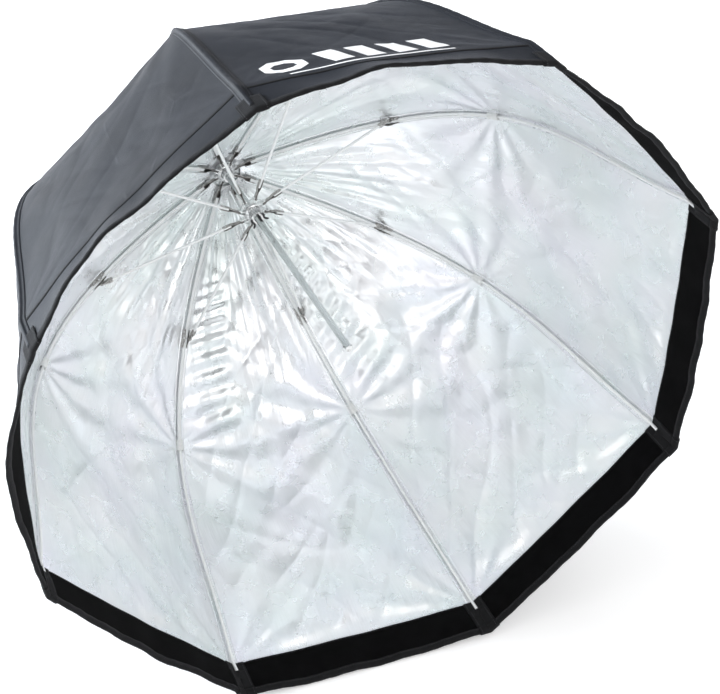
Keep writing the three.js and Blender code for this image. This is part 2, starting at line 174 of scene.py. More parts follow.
def direction(angle, radius, side, depth):
    """Row-frame directions from a spoke's coordinates."""
    return spoke(angle, radius, side, depth) - spoke(angle, 0.0, 0.0, 0.0)


def rib_angle(number):
    return HALF_SECTOR + (number - 1) * SECTOR


def panel_angle(number):
    return (number - 1) * SECTOR


class Ripple:
    """Smooth random heights over a plane, about -1 to 1, the same for the same seed."""

    SIZE = 256

    def __init__(self, seed):
        rng = np.random.default_rng(seed)
        self.order = rng.permutation(self.SIZE)
        turn = rng.uniform(0, math.tau, self.SIZE)
        self.slope = circle(turn)

    def corner(self, ix, iy, dx, dy):
        slope = self.slope[self.order[(self.order[ix % self.SIZE] + iy) % self.SIZE]]
        return slope[..., 0] * dx + slope[..., 1] * dy

    def row(self, ix, iy, dx, dy):
        share = ease(dx)
        return self.corner(ix, iy, dx, dy) * (1 - share) + self.corner(ix + 1, iy, dx - 1, dy) * share

    def __call__(self, x, y):
        ix, iy = np.floor(x).astype(int), np.floor(y).astype(int)
        dx, dy = x - ix, y - iy
        share = ease(dy)
        return 1.6 * (self.row(ix, iy, dx, dy) * (1 - share) + self.row(ix, iy + 1, dx, dy - 1) * share)


# ---- canopy surface


def canopy_profile():
    """Dense (radius, depth) points of a panel's middle line, from the hub to just past the rim."""
    curve = cloth_at(np.linspace(0.006, 1, PROFILE_STEPS))
    wall = curve[-1] + (RIM - curve[-1]) * np.linspace(0, 1.15, PROFILE_STEPS // 4)[1:, None]
    line = np.concatenate([curve, wall])
    softened = line.copy()
    for i in range(KINK_SOFTENING, len(line) - KINK_SOFTENING):
        softened[i] = line[i - KINK_SOFTENING : i + KINK_SOFTENING + 1].mean(0)
    softened[:, 0] *= math.cos(HALF_SECTOR)
    return softened


def s_at_depth(depth):
    return float(np.interp(depth, PROFILE[:, 1], PROFILE_S))


PROFILE = canopy_profile()
PROFILE_S = distances(PROFILE)
PROFILE_IN = inward(unit(np.gradient(PROFILE, axis=0)))
RIM_S = s_at_depth(RIM[1])
BAND_S = RIM_S - BAND_WIDTH
BAND_SEAM_S = BAND_S + 2 * MM
TIE_S = s_at_depth(cloth_at(TIE_SHARE)[1])


def profile_at(s):
    """Radius and depth of the panel's middle line, and its inward direction, at distance s."""
    columns = (*PROFILE.T, *PROFILE_IN.T)
    return [np.interp(s, PROFILE_S, column) for column in columns]


def half_width(s):
    return profile_at(s)[0] * math.tan(HALF_SECTOR) - SEAM_GAP


# How far each panel's lip bows outwards, in millimetres, and where along the rim, from -1 to 1.
LIP_BOW = {
    1: (8, 0.1),
    2: (14, 0.0),
    3: (21, 0.1),
    4: (25, 0.3),
    5: (30, -0.1),
    6: (5, 0.0),
    7: (6, -0.1),
    8: (5, 0.1),
}
BOW_AT_CREASE = 0.3
BOW_START_S = 0.40

# How creased each panel is, and the heights of its folds in millimetres.
SLACK = {1: 1.25, 2: 1.1, 3: 0.55, 4: 0.6, 5: 1.0, 6: 1.5, 7: 1.6, 8: 1.45}
SAG = 2.5
TIE_FOLD = 3.6
CORNER_FOLD = 2.4
CORNER_CREASE = 0.9
HUB_PLEAT = 2.2
LIP_WAVE = 4.8

# Panels with short pleats across them, beside one rib.
CROSS_PLEATED = (7, 8)
PLEAT_GROWTH = 58
MIDDLE_CREASE = 1.7

RIPPLES = {number: Ripple(40 + number) for number in SPOKES}


def ridge(x):
    """Turns a ripple into narrow ridges."""
    return np.clip(1 - 2.2 * np.abs(x), 0, 1) ** 2


def folds_from(point_side, point_s, side, s, count, reach, phase):
    """Folds that fan out from a point that the fabric is pulled to."""
    away_side, away_s = side - point_side, s - point_s
    distance = np.hypot(away_side, away_s)
    turn = np.arctan2(away_s, -np.sign(point_side) * away_side)
    fade = np.exp(-distance / reach) * distance / (distance + 0.15 * reach)
    return np.cos(count * turn + phase + 14 * distance) * fade


def lip_bow(number, share, s):
    """Outward bow of the slack rim between its corners, strongest at the lip."""
    height, peak = LIP_BOW[number]
    across = np.where(share < peak, (1 + share) / (1 + peak), (1 - share) / (1 - peak))
    across = np.sin(0.5 * math.pi * np.clip(across, 0, 1)) ** 1.2
    up_wall = BOW_AT_CREASE * ease((s - BOW_START_S) / (BAND_S - BOW_START_S))
    in_band = (1 - BOW_AT_CREASE) * np.clip((s - BAND_S) / BAND_WIDTH, 0, 1.1) ** 1.3
    return height * across * (up_wall + in_band)


def beside_one_rib(number, share, s):
    """1 where a cross-pleated panel has its pleats, beside one rib and short of the tie."""
    if number not in CROSS_PLEATED:
        return 0
    return window(share, -1, 0.1, -0.42, 0.22) * window(s, 0.10, 0.03, TIE_S - 0.02, 0.03)


def cross_pleats(number, share, s):
    """Short pleats across the panel, wider apart the further from the hub, and a long middle crease."""
    if number not in CROSS_PLEATED:
        return 0
    rung = np.cos(PLEAT_GROWTH * np.log(np.maximum(s, 0.05)) + 2.5 * share)
    middle = np.exp(-np.abs(share + 0.12) * half_width(s) / 0.005)
    pleats = 9 * s * rung * beside_one_rib(number, share, s)
    return pleats - MIDDLE_CREASE * middle * window(s, 0.06, 0.03, TIE_S, 0.06)


def pulled_folds(number, side, s):
    """Folds that fan out from the ties and from the corners of the rim band."""
    total = 0
    for end in (-1, 1):
        tie = end * half_width(TIE_S), TIE_S
        corner = end * half_width(BAND_S), BAND_S
        total = total + TIE_FOLD * folds_from(*tie, side, s, 11, 0.11, number + end)
        total = total + CORNER_FOLD * folds_from(*corner, side, s, 12, 0.10, 2 * number + end)
        total = total + CORNER_CREASE * folds_from(*corner, side, s, 27, 0.05, number - end)
    return total


def drape(number, side, s):
    """How far the fabric of a panel stands inside its flat surface: sag, folds and creases."""
    ripple = RIPPLES[number]
    share = side / half_width(s)
    hold = np.clip(1 - share**2, 0, 1)
    free = SLACK[number] * window(s, 0, 0.05, BAND_S - 0.022, 0.02)
    sag = SAG * hold * ease(s / 0.14) * (1 - 1.6 * ease((s - 0.25) / 0.2))
    soft = 2.0 * ripple(side / 0.06, s / 0.15 + number)
    slack = 1.1 * ripple(side / 0.028 + 9, s / 0.07)
    one_way = 1.1 * ridge(ripple((side + 0.7 * s) / 0.052, (s - 0.7 * side) / 0.19 + 3 * number))
    other_way = 0.9 * ridge(ripple((side - 0.8 * s) / 0.06 + 5, (s + 0.8 * side) / 0.22))
    crumple = 0.36 * ripple(side / 0.016, s / 0.021) + 0.5 * ripple(side / 0.034, s / 0.026 + 4)
    crumple = crumple * (0.3 + 0.7 * ease((s - 0.16) / 0.14))
    pleats = HUB_PLEAT * ripple(6.5 * share + 20, s / 0.35) * window(s, 0, 0.06, 0.14, 0.22)
    folded = soft + slack + one_way + other_way + crumple + pulled_folds(number, side, s) + pleats
    folded = folded * (1 - 0.55 * beside_one_rib(number, share, s))
    wavy_lip = LIP_WAVE * ripple(side / 0.05 + 3, 0 * s + number) * ease((s - BAND_S + 0.02) / 0.05)
    held = free * folded + wavy_lip + cross_pleats(number, share, s)
    return MM * (sag - lip_bow(number, share, s) + held * hold**0.8)


def panel_point(number, side, s, lift=0.0):
    """Row-frame points on a panel, lift metres inside its draped surface."""
    radius, depth, in_radius, in_depth = profile_at(s)
    height = lift + drape(number, side, s)
    return spoke(panel_angle(number), radius + in_radius * height, side, depth + in_depth * height)


def seam_point(number, q, s, lift, rounding=1 * MM):
    """Points across the seam on rib number, q metres sideways, lying on the two panels it joins."""
    q, s, lift = np.broadcast_arrays(q, s, lift)
    along_panel = np.abs(q) / math.cos(HALF_SECTOR)
    over = np.where(np.abs(q) < rounding, q, 0) / math.cos(HALF_SECTOR)
    edge = half_width(s)
    before = panel_point(number, np.where(q < 0, edge - along_panel, edge + over), s, lift)
    after_number = number % SIDES + 1
    after = panel_point(after_number, np.where(q > 0, along_panel - edge, over - edge), s, lift)
    share = ease((q / rounding + 1) / 2)[..., None]
    return before * (1 - share) + after * share


# ---- mesh building


def add_to_scene(name, data):
    made = bpy.data.objects.new(name, data)
    bpy.context.scene.collection.objects.link(made)
    return made


class Piece:
    """Closed parts with their materials, collected and then made into one object."""

    def __init__(self, name):
        self.name = name
        self.points, self.faces, self.slots, self.uv, self.normals = [], [], [], [], []
        self.materials = []
        self.count = 0

    def slot_of(self, material):
        if material not in self.materials:
            self.materials.append(material)
        return self.materials.index(material)

    def add(self, points, faces, materials, uv=None, normals=None):
        """faces holds a list of faces for each of the materials."""
        for group, material in zip(faces, materials):
            slot = self.slot_of(material)
            for face in group:
                self.faces.append([i + self.count for i in face])
                self.slots.append(slot)
        self.points.append(points)
        self.uv.append(np.zeros((len(points), 2)) if uv is None else uv)
        self.normals.append(np.zeros((len(points), 3)) if normals is None else normals)
        self.count += len(points)

    def build(self, body=None, replaced=()):
        """Makes the object, which takes its finishes from its material slots, rides on body and stands for
        CAD nodes.
        """
        mesh = bpy.data.meshes.new(self.name)
        mesh.from_pydata(np.concatenate(self.points).tolist(), [], self.faces)
        for material in self.materials:
            mesh.materials.append(material)
        mesh.polygons.foreach_set("material_index", self.slots)
        mesh.polygons.foreach_set("use_smooth", [True] * len(self.faces))
        corner = np.zeros(len(mesh.loops), np.int32)
        mesh.loops.foreach_get("vertex_index", corner)
        layer = mesh.uv_layers.new(name="metres")
        layer.data.foreach_set("uv", np.concatenate(self.uv)[corner].astype(np.float32).ravel())
        mesh.set_sharp_from_angle(angle=math.radians(50))
        given = np.concatenate(self.normals)
        if np.any(given):
            self.set_normals(mesh, given)
        mesh.update()
        piece = add_to_scene(self.name, mesh)
        if replaced:
            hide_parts(*replaced)
        if body:
            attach(piece, body)
        return piece

    def set_normals(self, mesh, given):
        """Smooth cloth keeps the normals of the whole panel, so that its two parts meet unseen."""
        own = np.zeros(len(given) * 3, np.float32)
        mesh.vertex_normals.foreach_get("vector", own)
        own = own.reshape(-1, 3)
        has = np.abs(given).sum(1) > 0
        own[has] = given[has]
        mesh.normals_split_custom_set_from_vertices(own.tolist())


def numbered(rows, cols, wrap):
    """Vertex numbers of a grid; wrap repeats its first column at the end."""
    index = np.arange(rows * cols).reshape(rows, cols)
    return np.concatenate([index, index[:, :1]], 1) if wrap else index


def quads(index):
    """Faces of a grid of vertex numbers, seen from the side its columns-then-rows turn points to."""
    corners = [index[:-1, :-1], index[:-1, 1:], index[1:, 1:], index[1:, :-1]]
    return np.stack(corners, -1).reshape(-1, 4)


def grid_normals(grid, wrap=False):
    padded = np.concatenate([grid[:, -2:-1], grid, grid[:, 1:2]], 1) if wrap else grid
    across = np.gradient(padded, axis=1)
    if wrap:
        across = across[:, 1:-1]
    return unit(np.cross(across, np.gradient(grid, axis=0)))


def sheet(piece, grid, thickness, inside, outside, edge, uv, keep_normals=None, wrap=False):
    """Closed sheet about a grid of points; outside faces the way columns-then-rows turns."""
    out = grid_normals(grid, wrap) if keep_normals is None else keep_normals
    half = np.broadcast_to(thickness, grid.shape[:2])[..., None] / 2
    if wrap:
        grid, out, half, uv = grid[:, :-1], out[:, :-1], half[:, :-1], uv[:, :-1]
    rows, cols = grid.shape[:2]
    points = [(grid + out * half).reshape(-1, 3), (grid - out * half).reshape(-1, 3)]
    full = numbered(rows, cols, wrap)
    top = quads(full)
    bottom = top[:, ::-1] + rows * cols
    if wrap:
        borders = [full[0], full[-1][::-1]]
    else:
        borders = [np.concatenate([full[0], full[1:, -1], full[-1, -2::-1], full[-2::-1, 0]])]
    wall = []
    for loop in borders:
        a, b = loop[:-1], loop[1:]
        wall.append(np.stack([a, a + rows * cols, b + rows * cols, b], -1))
    normals = None
    if keep_normals is not None:
        normals = np.concatenate([out.reshape(-1, 3), -out.reshape(-1, 3)])
    piece.add(
        np.concatenate(points),
        [top.tolist(), bottom.tolist(), np.concatenate(wall).tolist()],
        [outside, inside, edge],
        np.concatenate([uv.reshape(-1, 2)] * 2),
        normals,
    )


def tape(piece, grid, thickness, material, uv):
    """Sheet of one material."""
    sheet(piece, grid, thickness, material, material, material, uv)


def sweep(piece, path, across, up, sections, material, closed=False):
    """Sweeps sections of (across, up) offsets along a path; across x up points along the path."""
    path = np.asarray(path, float)
    sections = np.asarray(sections, float)
    if sections.ndim == 2:
        sections = np.broadcast_to(sections, (len(path),) + sections.shape)
    across = np.broadcast_to(across, path.shape)[:, None]
    up = np.broadcast_to(up, path.shape)[:, None]
    grid = path[:, None] + sections[..., :1] * across + sections[..., 1:] * up
    full = numbered(*grid.shape[:2], True)
    if closed:
        full = np.concatenate([full, full[:1]], 0)
    faces = quads(full).tolist()
    if not closed:
        faces += [full[0, -2::-1].tolist(), full[-1, :-1].tolist()]
    girth = distances(sections[0])
    uv = np.stack(np.broadcast_arrays(girth[None, :], distances(path)[:, None]), -1)
    piece.add(grid.reshape(-1, 3), [faces], [material], uv.reshape(-1, 2))


def turned(piece, centre, axis, profile, material, steps=16):
    """Lathe about an axis; profile holds (radius, distance along the axis) and ends on the axis."""
    axis = unit(axis)
    centre = np.asarray(centre)
    helper = np.array([0, 0, 1.0]) if abs(axis[2]) < 0.8 else np.array([1.0, 0, 0])
    a = unit(np.cross(axis, helper))
    b = np.cross(axis, a)
    turn = around(steps)
    ring = np.cos(turn)[:, None] * a + np.sin(turn)[:, None] * b
    inner = [(r, h) for r, h in profile if r > 0]
    points = np.concatenate([centre + ring * r + axis * h for r, h in inner])
    ends = np.array([centre + axis * profile[at][1] for at in (0, -1)])
    full = numbered(len(inner), steps, True)
    faces = quads(full).tolist()
    first, last = len(points), len(points) + 1
    for i in range(steps):
        faces.append([first, int(full[0, i + 1]), int(full[0, i])])
        faces.append([last, int(full[-1, i]), int(full[-1, i + 1])])
    piece.add(np.concatenate([points, ends]), [faces], [material])


STITCH_LENGTH = 2.0 * MM
STITCH_RADIUS = 0.42 * MM
STITCH_FACES = [(0, 1, 2), (0, 2, 3), (0, 3, 4), (0, 4, 1), (5, 2, 1), (5, 3, 2), (5, 4, 3), (5, 1, 4)]


def stitches(piece, points, normals, material, pitch):
    """A row of thread stitches along a line of points, lying on the surface with those normals."""
    points = np.asarray(points, float)
    s = distances(points)
    places = np.arange(pitch, s[-1] - pitch / 2, pitch)
    if not len(places):
        return

    def on_line(values, where):
        return np.stack([np.interp(where, s, values[:, i]) for i in range(3)], -1)

    centre = on_line(points, places)
    along = unit(on_line(points, places + MM) - centre)
    up = unit(on_line(normals, places))
    side = unit(np.cross(up, along))
    half = along * STITCH_LENGTH / 2
    ring = [side, up * 0.8, -side, -up * 0.5]
    corners = [centre + half] + [centre + STITCH_RADIUS * r for r in ring] + [centre - half]
    block = np.stack(corners, 1)
    base = np.arange(len(centre)) * block.shape[1]
    faces = (base[:, None, None] + np.array(STITCH_FACES)[None]).reshape(-1, 3)
    outwards = unit(block - centre[:, None]).reshape(-1, 3)
    piece.add(block.reshape(-1, 3), [faces.tolist()], [material], None, outwards)


# ---- materials


class Nodes:
    """Short calls for the nodes of a material or of the world."""

    def __init__(self, tree):
        self.tree = tree
        tree.nodes.clear()

    def put(self, socket, value):
        if isinstance(value, bpy.types.NodeSocket):
            self.tree.links.new(value, socket)
        elif isinstance(value, tuple) and len(value) == 3 and socket.type == "RGBA":
            socket.default_value = (*value, 1)
        else:
            socket.default_value = value

    def node(self, kind, inputs=None, output=0, **settings):
        made = self.tree.nodes.new("ShaderNode" + kind)
        for key, value in settings.items():
            setattr(made, key, value)
        for key, value in (inputs or {}).items():
            self.put(made.inputs[key], value)
        return made.outputs[output]

    def place(self, scale=(1, 1, 1), source="Object"):
        where = self.node("TexCoord", output=source)
        return self.node("Mapping", {"Vector": where, "Scale": scale})

    def noise(self, where, scale, detail=4, rough=0.55):
        inputs = {"Vector": where, "Scale": scale, "Detail": detail, "Roughness": rough}
        return self.node("TexNoise", inputs)

    def math(self, operation, a, b=0.0):
        return self.node("Math", {0: a, 1: b}, operation=operation)

    def span(self, value, low, high, to_low=0.0, to_high=1.0):
        inputs = {"Value": value, "From Min": low, "From Max": high, "To Min": to_low, "To Max": to_high}
        return self.node("MapRange", inputs)

    def vary(self, noise, low, high):
        """A value between low and high that follows a noise."""
        return self.span(noise, 0.3, 0.7, low, high)

    def mix(self, factor, a, b):
        return self.node("Mix", {0: factor, 6: a, 7: b}, 2, data_type="RGBA")

    def blotch(self, noise, a, b):
        """A colour between a and b that follows a noise."""
        return self.mix(self.span(noise, 0.3, 0.7), a, b)

    def wave(self, where, scale, axis, distortion=0.0):
        inputs = {"Vector": where, "Scale": scale, "Distortion": distortion}
        return self.node("TexWave", inputs, 1, bands_direction=axis)

    def weave(self, where, scale, distortion=0.6):
        return self.math("ADD", *(self.wave(where, scale, axis, distortion) for axis in "XY"))

    def cells(self, where, scale):
        """Distance to the nearest edge between random cells."""
        return self.node("TexVoronoi", {"Vector": where, "Scale": scale}, feature="DISTANCE_TO_EDGE")

    def creases(self, where, scale, bend):
        """Distance to the nearest of a net of random crease lines, bent a little."""
        shift = self.node("TexNoise", {"Vector": where, "Scale": scale * 0.8, "Detail": 2.0}, 1)
        bent = self.node("VectorMath", {0: shift, 1: (bend,) * 3, 2: where}, operation="MULTIPLY_ADD")
        return self.cells(bent, scale)

    def bump(self, height, distance, strength=1.0, under=None):
        inputs = {"Height": height, "Distance": distance, "Strength": strength}
        if under is not None:
            inputs["Normal"] = under
        return self.node("Bump", inputs)

    def rubbed_edge(self, low, high):
        return self.span(self.node("NewGeometry", output="Pointiness"), low, high)


class Surface(Nodes):
    """A Principled material."""

    def __init__(self, name):
        self.material = bpy.data.materials.new(name)
        self.material.use_nodes = True
        super().__init__(self.material.node_tree)
        self.shader = self.tree.nodes.new("ShaderNodeBsdfPrincipled")
        output = self.tree.nodes.new("ShaderNodeOutputMaterial")
        self.tree.links.new(self.shader.outputs[0], output.inputs[0])

    def finish(self, **inputs):
        """Feeds the shader, whose inputs are named here with underscores, and hands over the material."""
        for key, value in inputs.items():
            self.put(self.shader.inputs[key.replace("_", " ")], value)
        return self.material


def coated_fabric():
    """Black coated polyester: fine weave, faint sheen, and straight pressed creases with a painted
    highlight on their crests.
    """
    g = Surface("canopy_fabric")
    flat = g.place(source="UV")
    cloud = g.noise(flat, 9, 3)
    line = g.span(g.creases(g.place((1, 0.5, 1), "UV"), 9, 0.012), 0.0, 0.02, 1, 0)
    # Crease crests in some places: their shape for the bump, and a painted highlight that pales the colour
    # along them.
    crease_crest_highlight = g.math("MULTIPLY", line, g.span(g.noise(flat, 15, 2), 0.47, 0.62))
    base = g.blotch(cloud, (0.0105, 0.0118, 0.0150), (0.0170, 0.0188, 0.0235))
    threads = g.bump(g.weave(flat, 480), 0.05 * MM, 0.6)
    pressed = g.bump(crease_crest_highlight, 0.35 * MM, 0.5, threads)
    return g.finish(
        # Base colour with the painted highlight along the crease crests mixed in.
        Base_Color=g.mix(g.math("MULTIPLY", crease_crest_highlight, 0.07), base, (0.17, 0.17, 0.18)),
        Specular_IOR_Level=0.14,
        Roughness=g.vary(cloud, 0.46, 0.58),
        Sheen_Weight=0.05,
        Sheen_Roughness=0.4,
        Sheen_Tint=(0.68, 0.72, 0.86),
        Normal=g.bump(g.noise(flat, 38, 5, 0.6), 0.9 * MM, 0.5, pressed),
    )


def silver_lining():
    """Silver coating on cloth: bright, crumpled like foil, with faint aqua and lavender clouds."""
    g = Surface("silver_lining")
    flat = g.place(source="UV")
    tint = g.noise(g.place((1.3, 0.8, 1), "UV"), 5, 2)
    pale = g.mix(g.span(tint, 0.38, 0.62), (0.845, 0.915, 0.905), (0.895, 0.885, 0.955))
    threads = g.bump(g.weave(flat, 520, 0.8), 0.03 * MM, 0.3)
    small = g.bump(g.creases(g.place((1, 0.6, 1), "UV"), 75, 0.003), 0.5 * MM, 0.25, threads)
    large = g.bump(g.creases(g.place((1, 0.35, 1), "UV"), 24, 0.006), 2.6 * MM, 0.5, small)
    streaks = g.bump(g.noise(g.place((1, 0.09, 1), "UV"), 95, 3, 0.6), 1.6 * MM, 0.6, large)
    return g.finish(
        Base_Color=g.mix(g.span(g.noise(flat, 7.5, 2), 0.35, 0.75), pale, (0.94, 0.94, 0.945)),
        Metallic=0.78,
        Roughness=g.vary(g.noise(flat, 30, 3), 0.23, 0.35),
        Normal=g.bump(g.noise(flat, 26, 3, 0.42), 1.8 * MM, 0.5, streaks),
    )


def loop_tape():
    """Deep black loop pile that swallows light."""
    g = Surface("loop_tape")
    flat = g.place(source="UV")
    return g.finish(
        Base_Color=g.blotch(g.noise(flat, 60, 3), (0.0015, 0.0015, 0.0017), (0.0036, 0.0036, 0.0040)),
        Specular_IOR_Level=0.03,
        Roughness=1.0,
        Sheen_Weight=0.015,
        Sheen_Roughness=0.6,
        Normal=g.bump(g.noise(flat, 1500, 3, 0.7), 0.5 * MM, 0.8),
    )


def ribbed_webbing():
    """Narrow black tape with ribs along it and fuzzy yarn."""
    g = Surface("webbing")
    flat = g.place(source="UV")
    picks = g.math("MULTIPLY", g.wave(flat, 420, "Y", 1.0), 0.6)
    yarn = g.math("ADD", g.wave(flat, 260, "X", 0.3), picks)
    shade = g.noise(flat, 140, 4)
    return g.finish(
        Base_Color=g.blotch(shade, (0.0045, 0.0045, 0.005), (0.010, 0.010, 0.011)),
        Specular_IOR_Level=0.16,
        Roughness=g.vary(shade, 0.72, 0.86),
        Sheen_Weight=0.05,
        Sheen_Tint=(0.7, 0.7, 0.75),
        Normal=g.bump(yarn, 0.22 * MM, 0.8),
    )


def thread(name, dark, light):
    """Twisted sewing thread."""
    g = Surface(name)
    twist = g.wave(g.place(), 900, "DIAGONAL", 0.5)
    return g.finish(Base_Color=g.mix(twist, dark, light), Roughness=0.7, Normal=g.bump(twist, 0.06 * MM))


def coated_rod():
    """White lacquer over drawn steel: a faint grain and small grey rubs."""
    g = Surface("rib_white")
    here = g.place()
    rub = g.span(g.noise(here, 260, 4, 0.65), 0.62, 0.7)
    soft = g.noise(here, 40, 3)
    base = g.blotch(soft, (0.87, 0.89, 0.89), (0.93, 0.94, 0.94))
    return g.finish(
        Base_Color=g.mix(g.math("MULTIPLY", rub, 0.4), base, (0.42, 0.44, 0.44)),
        Metallic=0.12,
        Roughness=g.vary(soft, 0.28, 0.42),
        Coat_Weight=0.25,
        Coat_Roughness=0.2,
        Normal=g.bump(g.noise(here, 900, 3), 0.05 * MM, 0.5),
    )


def worn_metal(name, base, crease_crest_highlight, low, high, metallic=0.9):
    """Stamped and plated sheet: cloudy, and rubbed bright along its edges."""
    g = Surface(name)
    here = g.place()
    grain = g.noise(here, 700, 4, 0.6)
    stain = g.noise(here, 150, 3)
    rubbed = g.math("MULTIPLY", g.rubbed_edge(0.52, 0.6), g.span(grain, 0.35, 0.6))
    dull = g.mix(g.span(stain, 0.35, 0.65), base, tuple(0.62 * c for c in base))
    return g.finish(
        Base_Color=g.mix(rubbed, dull, crease_crest_highlight),
        Metallic=metallic,
        Roughness=g.vary(stain, low, high),
        Normal=g.bump(grain, 0.06 * MM, 0.5),
    )


def drawn_steel():
    """Bright drawn tube: fine lines along it and cloudy tarnish."""
    g = Surface("shaft_steel")
    lines = g.noise(g.place((1, 0.02, 1)), 1400, 3, 0.6)
    cloud = g.noise(g.place((1, 0.25, 1)), 60, 4)
    return g.finish(
        Base_Color=g.blotch(cloud, (0.52, 0.56, 0.56), (0.68, 0.71, 0.71)),
        Metallic=1.0,
        Roughness=g.vary(lines, 0.2, 0.36),
        Normal=g.bump(lines, 0.04 * MM, 0.6),
    )


def moulded_plastic():
    """Black moulded nylon with a fine spark-eroded grain and rubbed edges."""
    g = Surface("black_plastic")
    here = g.place()
    return g.finish(
        Base_Color=g.mix(g.rubbed_edge(0.53, 0.64), (0.009, 0.009, 0.010), (0.045, 0.045, 0.048)),
        Specular_IOR_Level=0.5,
        Roughness=g.vary(g.noise(here, 120, 3), 0.36, 0.55),
        Normal=g.bump(g.noise(here, 1600, 3), 0.08 * MM, 0.5),
    )


def white_cloth():
    """White cotton tape."""
    g = Surface("tie_cloth")
    flat = g.place(source="UV")
    return g.finish(
        Base_Color=g.blotch(g.noise(flat, 200, 3), (0.76, 0.78, 0.77), (0.88, 0.89, 0.88)),
        Roughness=0.85,
        Sheen_Weight=0.2,
        Normal=g.bump(g.weave(flat, 620), 0.12 * MM, 0.7),
    )


def printed_ink():
    """White screen print: slightly uneven, with fine cracks where the cloth creases."""
    g = Surface("print_ink")
    flat = g.place(source="UV")
    crack = g.span(g.cells(flat, 260), 0.0, 0.025, 0.35, 0)
    return g.finish(
        Base_Color=g.mix(crack, (0.86, 0.86, 0.86), (0.30, 0.30, 0.31)),
        Roughness=0.6,
        Normal=g.bump(g.noise(flat, 900, 3), 0.05 * MM, 0.6),
    )


def floor_paint():
    """White paint that glows a little, so that the shadow on it stays light."""
    g = Surface("floor")
    here = g.place()
    return g.finish(
        Base_Color=g.mix(g.noise(here, 3, 2), (0.90, 0.90, 0.905), (0.94, 0.94, 0.945)),
        Specular_IOR_Level=0.2,
        Roughness=g.vary(g.noise(here, 30, 3), 0.55, 0.7),
        Emission_Color=(1, 1, 1),
        Emission_Strength=0.27,
    )


FABRIC = coated_fabric()
SILVER = silver_lining()
LOOP = loop_tape()
WEBBING = ribbed_webbing()
DARK_THREAD = thread("dark_thread", (0.018, 0.018, 0.02), (0.055, 0.055, 0.06))
GREY_THREAD = thread("grey_thread", (0.33, 0.34, 0.35), (0.55, 0.56, 0.57))
ROD_WHITE = coated_rod()
DARK_STEEL = worn_metal("dark_steel", (0.17, 0.16, 0.15), (0.60, 0.59, 0.57), 0.3, 0.45)
NICKEL = worn_metal("hub_nickel", (0.80, 0.81, 0.81), (0.92, 0.93, 0.93), 0.18, 0.30, 1.0)
STEEL = drawn_steel()
PLASTIC = moulded_plastic()
COTTON = white_cloth()
INK = printed_ink()


# ---- canopy panels

ACROSS = 88
INNER_ROWS = 92
OUTER_ROWS = 108
INNER_KEEP = 0.24
OUTER_KEEP = 0.16
STITCH_PITCH = 3.2 * MM
BAND_LOW = 0.5 * MM
BAND_HIGH = 2.1 * MM
BAND_HIGH_CORNER = 1.35 * MM
BAND_PILLOW = 0.25 * MM
BINDING_IN = 2.6 * MM
BINDING_OUT = 0.9 * MM
BINDING_LEG = 6.5 * MM
BINDING_TURN = 1.2 * MM
BINDING_SEAM_S = RIM_S - 4.6 * MM
END_GAP = 0.05 * MM


def fold_with_frame(piece, number, body):
    """The piece rides on its panel, with a mesh of its own."""
    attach(piece, f"{body}_{number}")
    turn = panel_angle(number)
    tuple(spoke(turn, 0.2, 0.0, 0.2))
    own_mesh(piece)


def stitch_line(piece, number, s, lift, material):
    """Stitches across a panel at distance s, on the inside for a positive lift."""
    side = np.linspace(-0.985, 0.985, 160) * half_width(s)
    line = panel_point(number, side, s, lift)
    beyond = panel_point(number, side, s, lift * 2)
    stitches(piece, line, beyond - line, material, STITCH_PITCH)


def canopy_panel(number):
    """Two cloth pieces of one gore, black outside and silver inside, that meet at the tie line."""
    outer_rows = np.linspace(TIE_S, RIM_S, OUTER_ROWS)[1:]
    rows = np.concatenate([np.linspace(0, TIE_S, INNER_ROWS), outer_rows])
    share = np.linspace(-1, 1, ACROSS)
    share = share * (1 + 0.06 * (1 - share**2))
    u, s = np.meshgrid(share, rows)
    side = u * half_width(s)
    grid = panel_point(number, side, s)
    normals = grid_normals(grid)
    uv = np.stack([side, s], -1)
    for name, first, last, body, keep in (
        ("gore_inner_cloth", 0, INNER_ROWS, "panel", INNER_KEEP),
        ("gore_outer_cloth", INNER_ROWS - 1, len(rows), "rim_panel", OUTER_KEEP),
    ):
        part = slice(first, last)
        piece = Piece(f"{name}_{number}")
        sheet(piece, grid[part], CLOTH, SILVER, FABRIC, FABRIC, uv[part], normals[part])
        if body == "rim_panel":
            proud = CLOTH / 2 + 0.15 * MM
            stitch_line(piece, number, BAND_SEAM_S, -proud, DARK_THREAD)
            stitch_line(piece, number, BAND_S - 2.4 * MM, proud, GREY_THREAD)
        made = piece.build(replaced=[f"gore_{number}"])
        fold_with_frame(made, number, body)


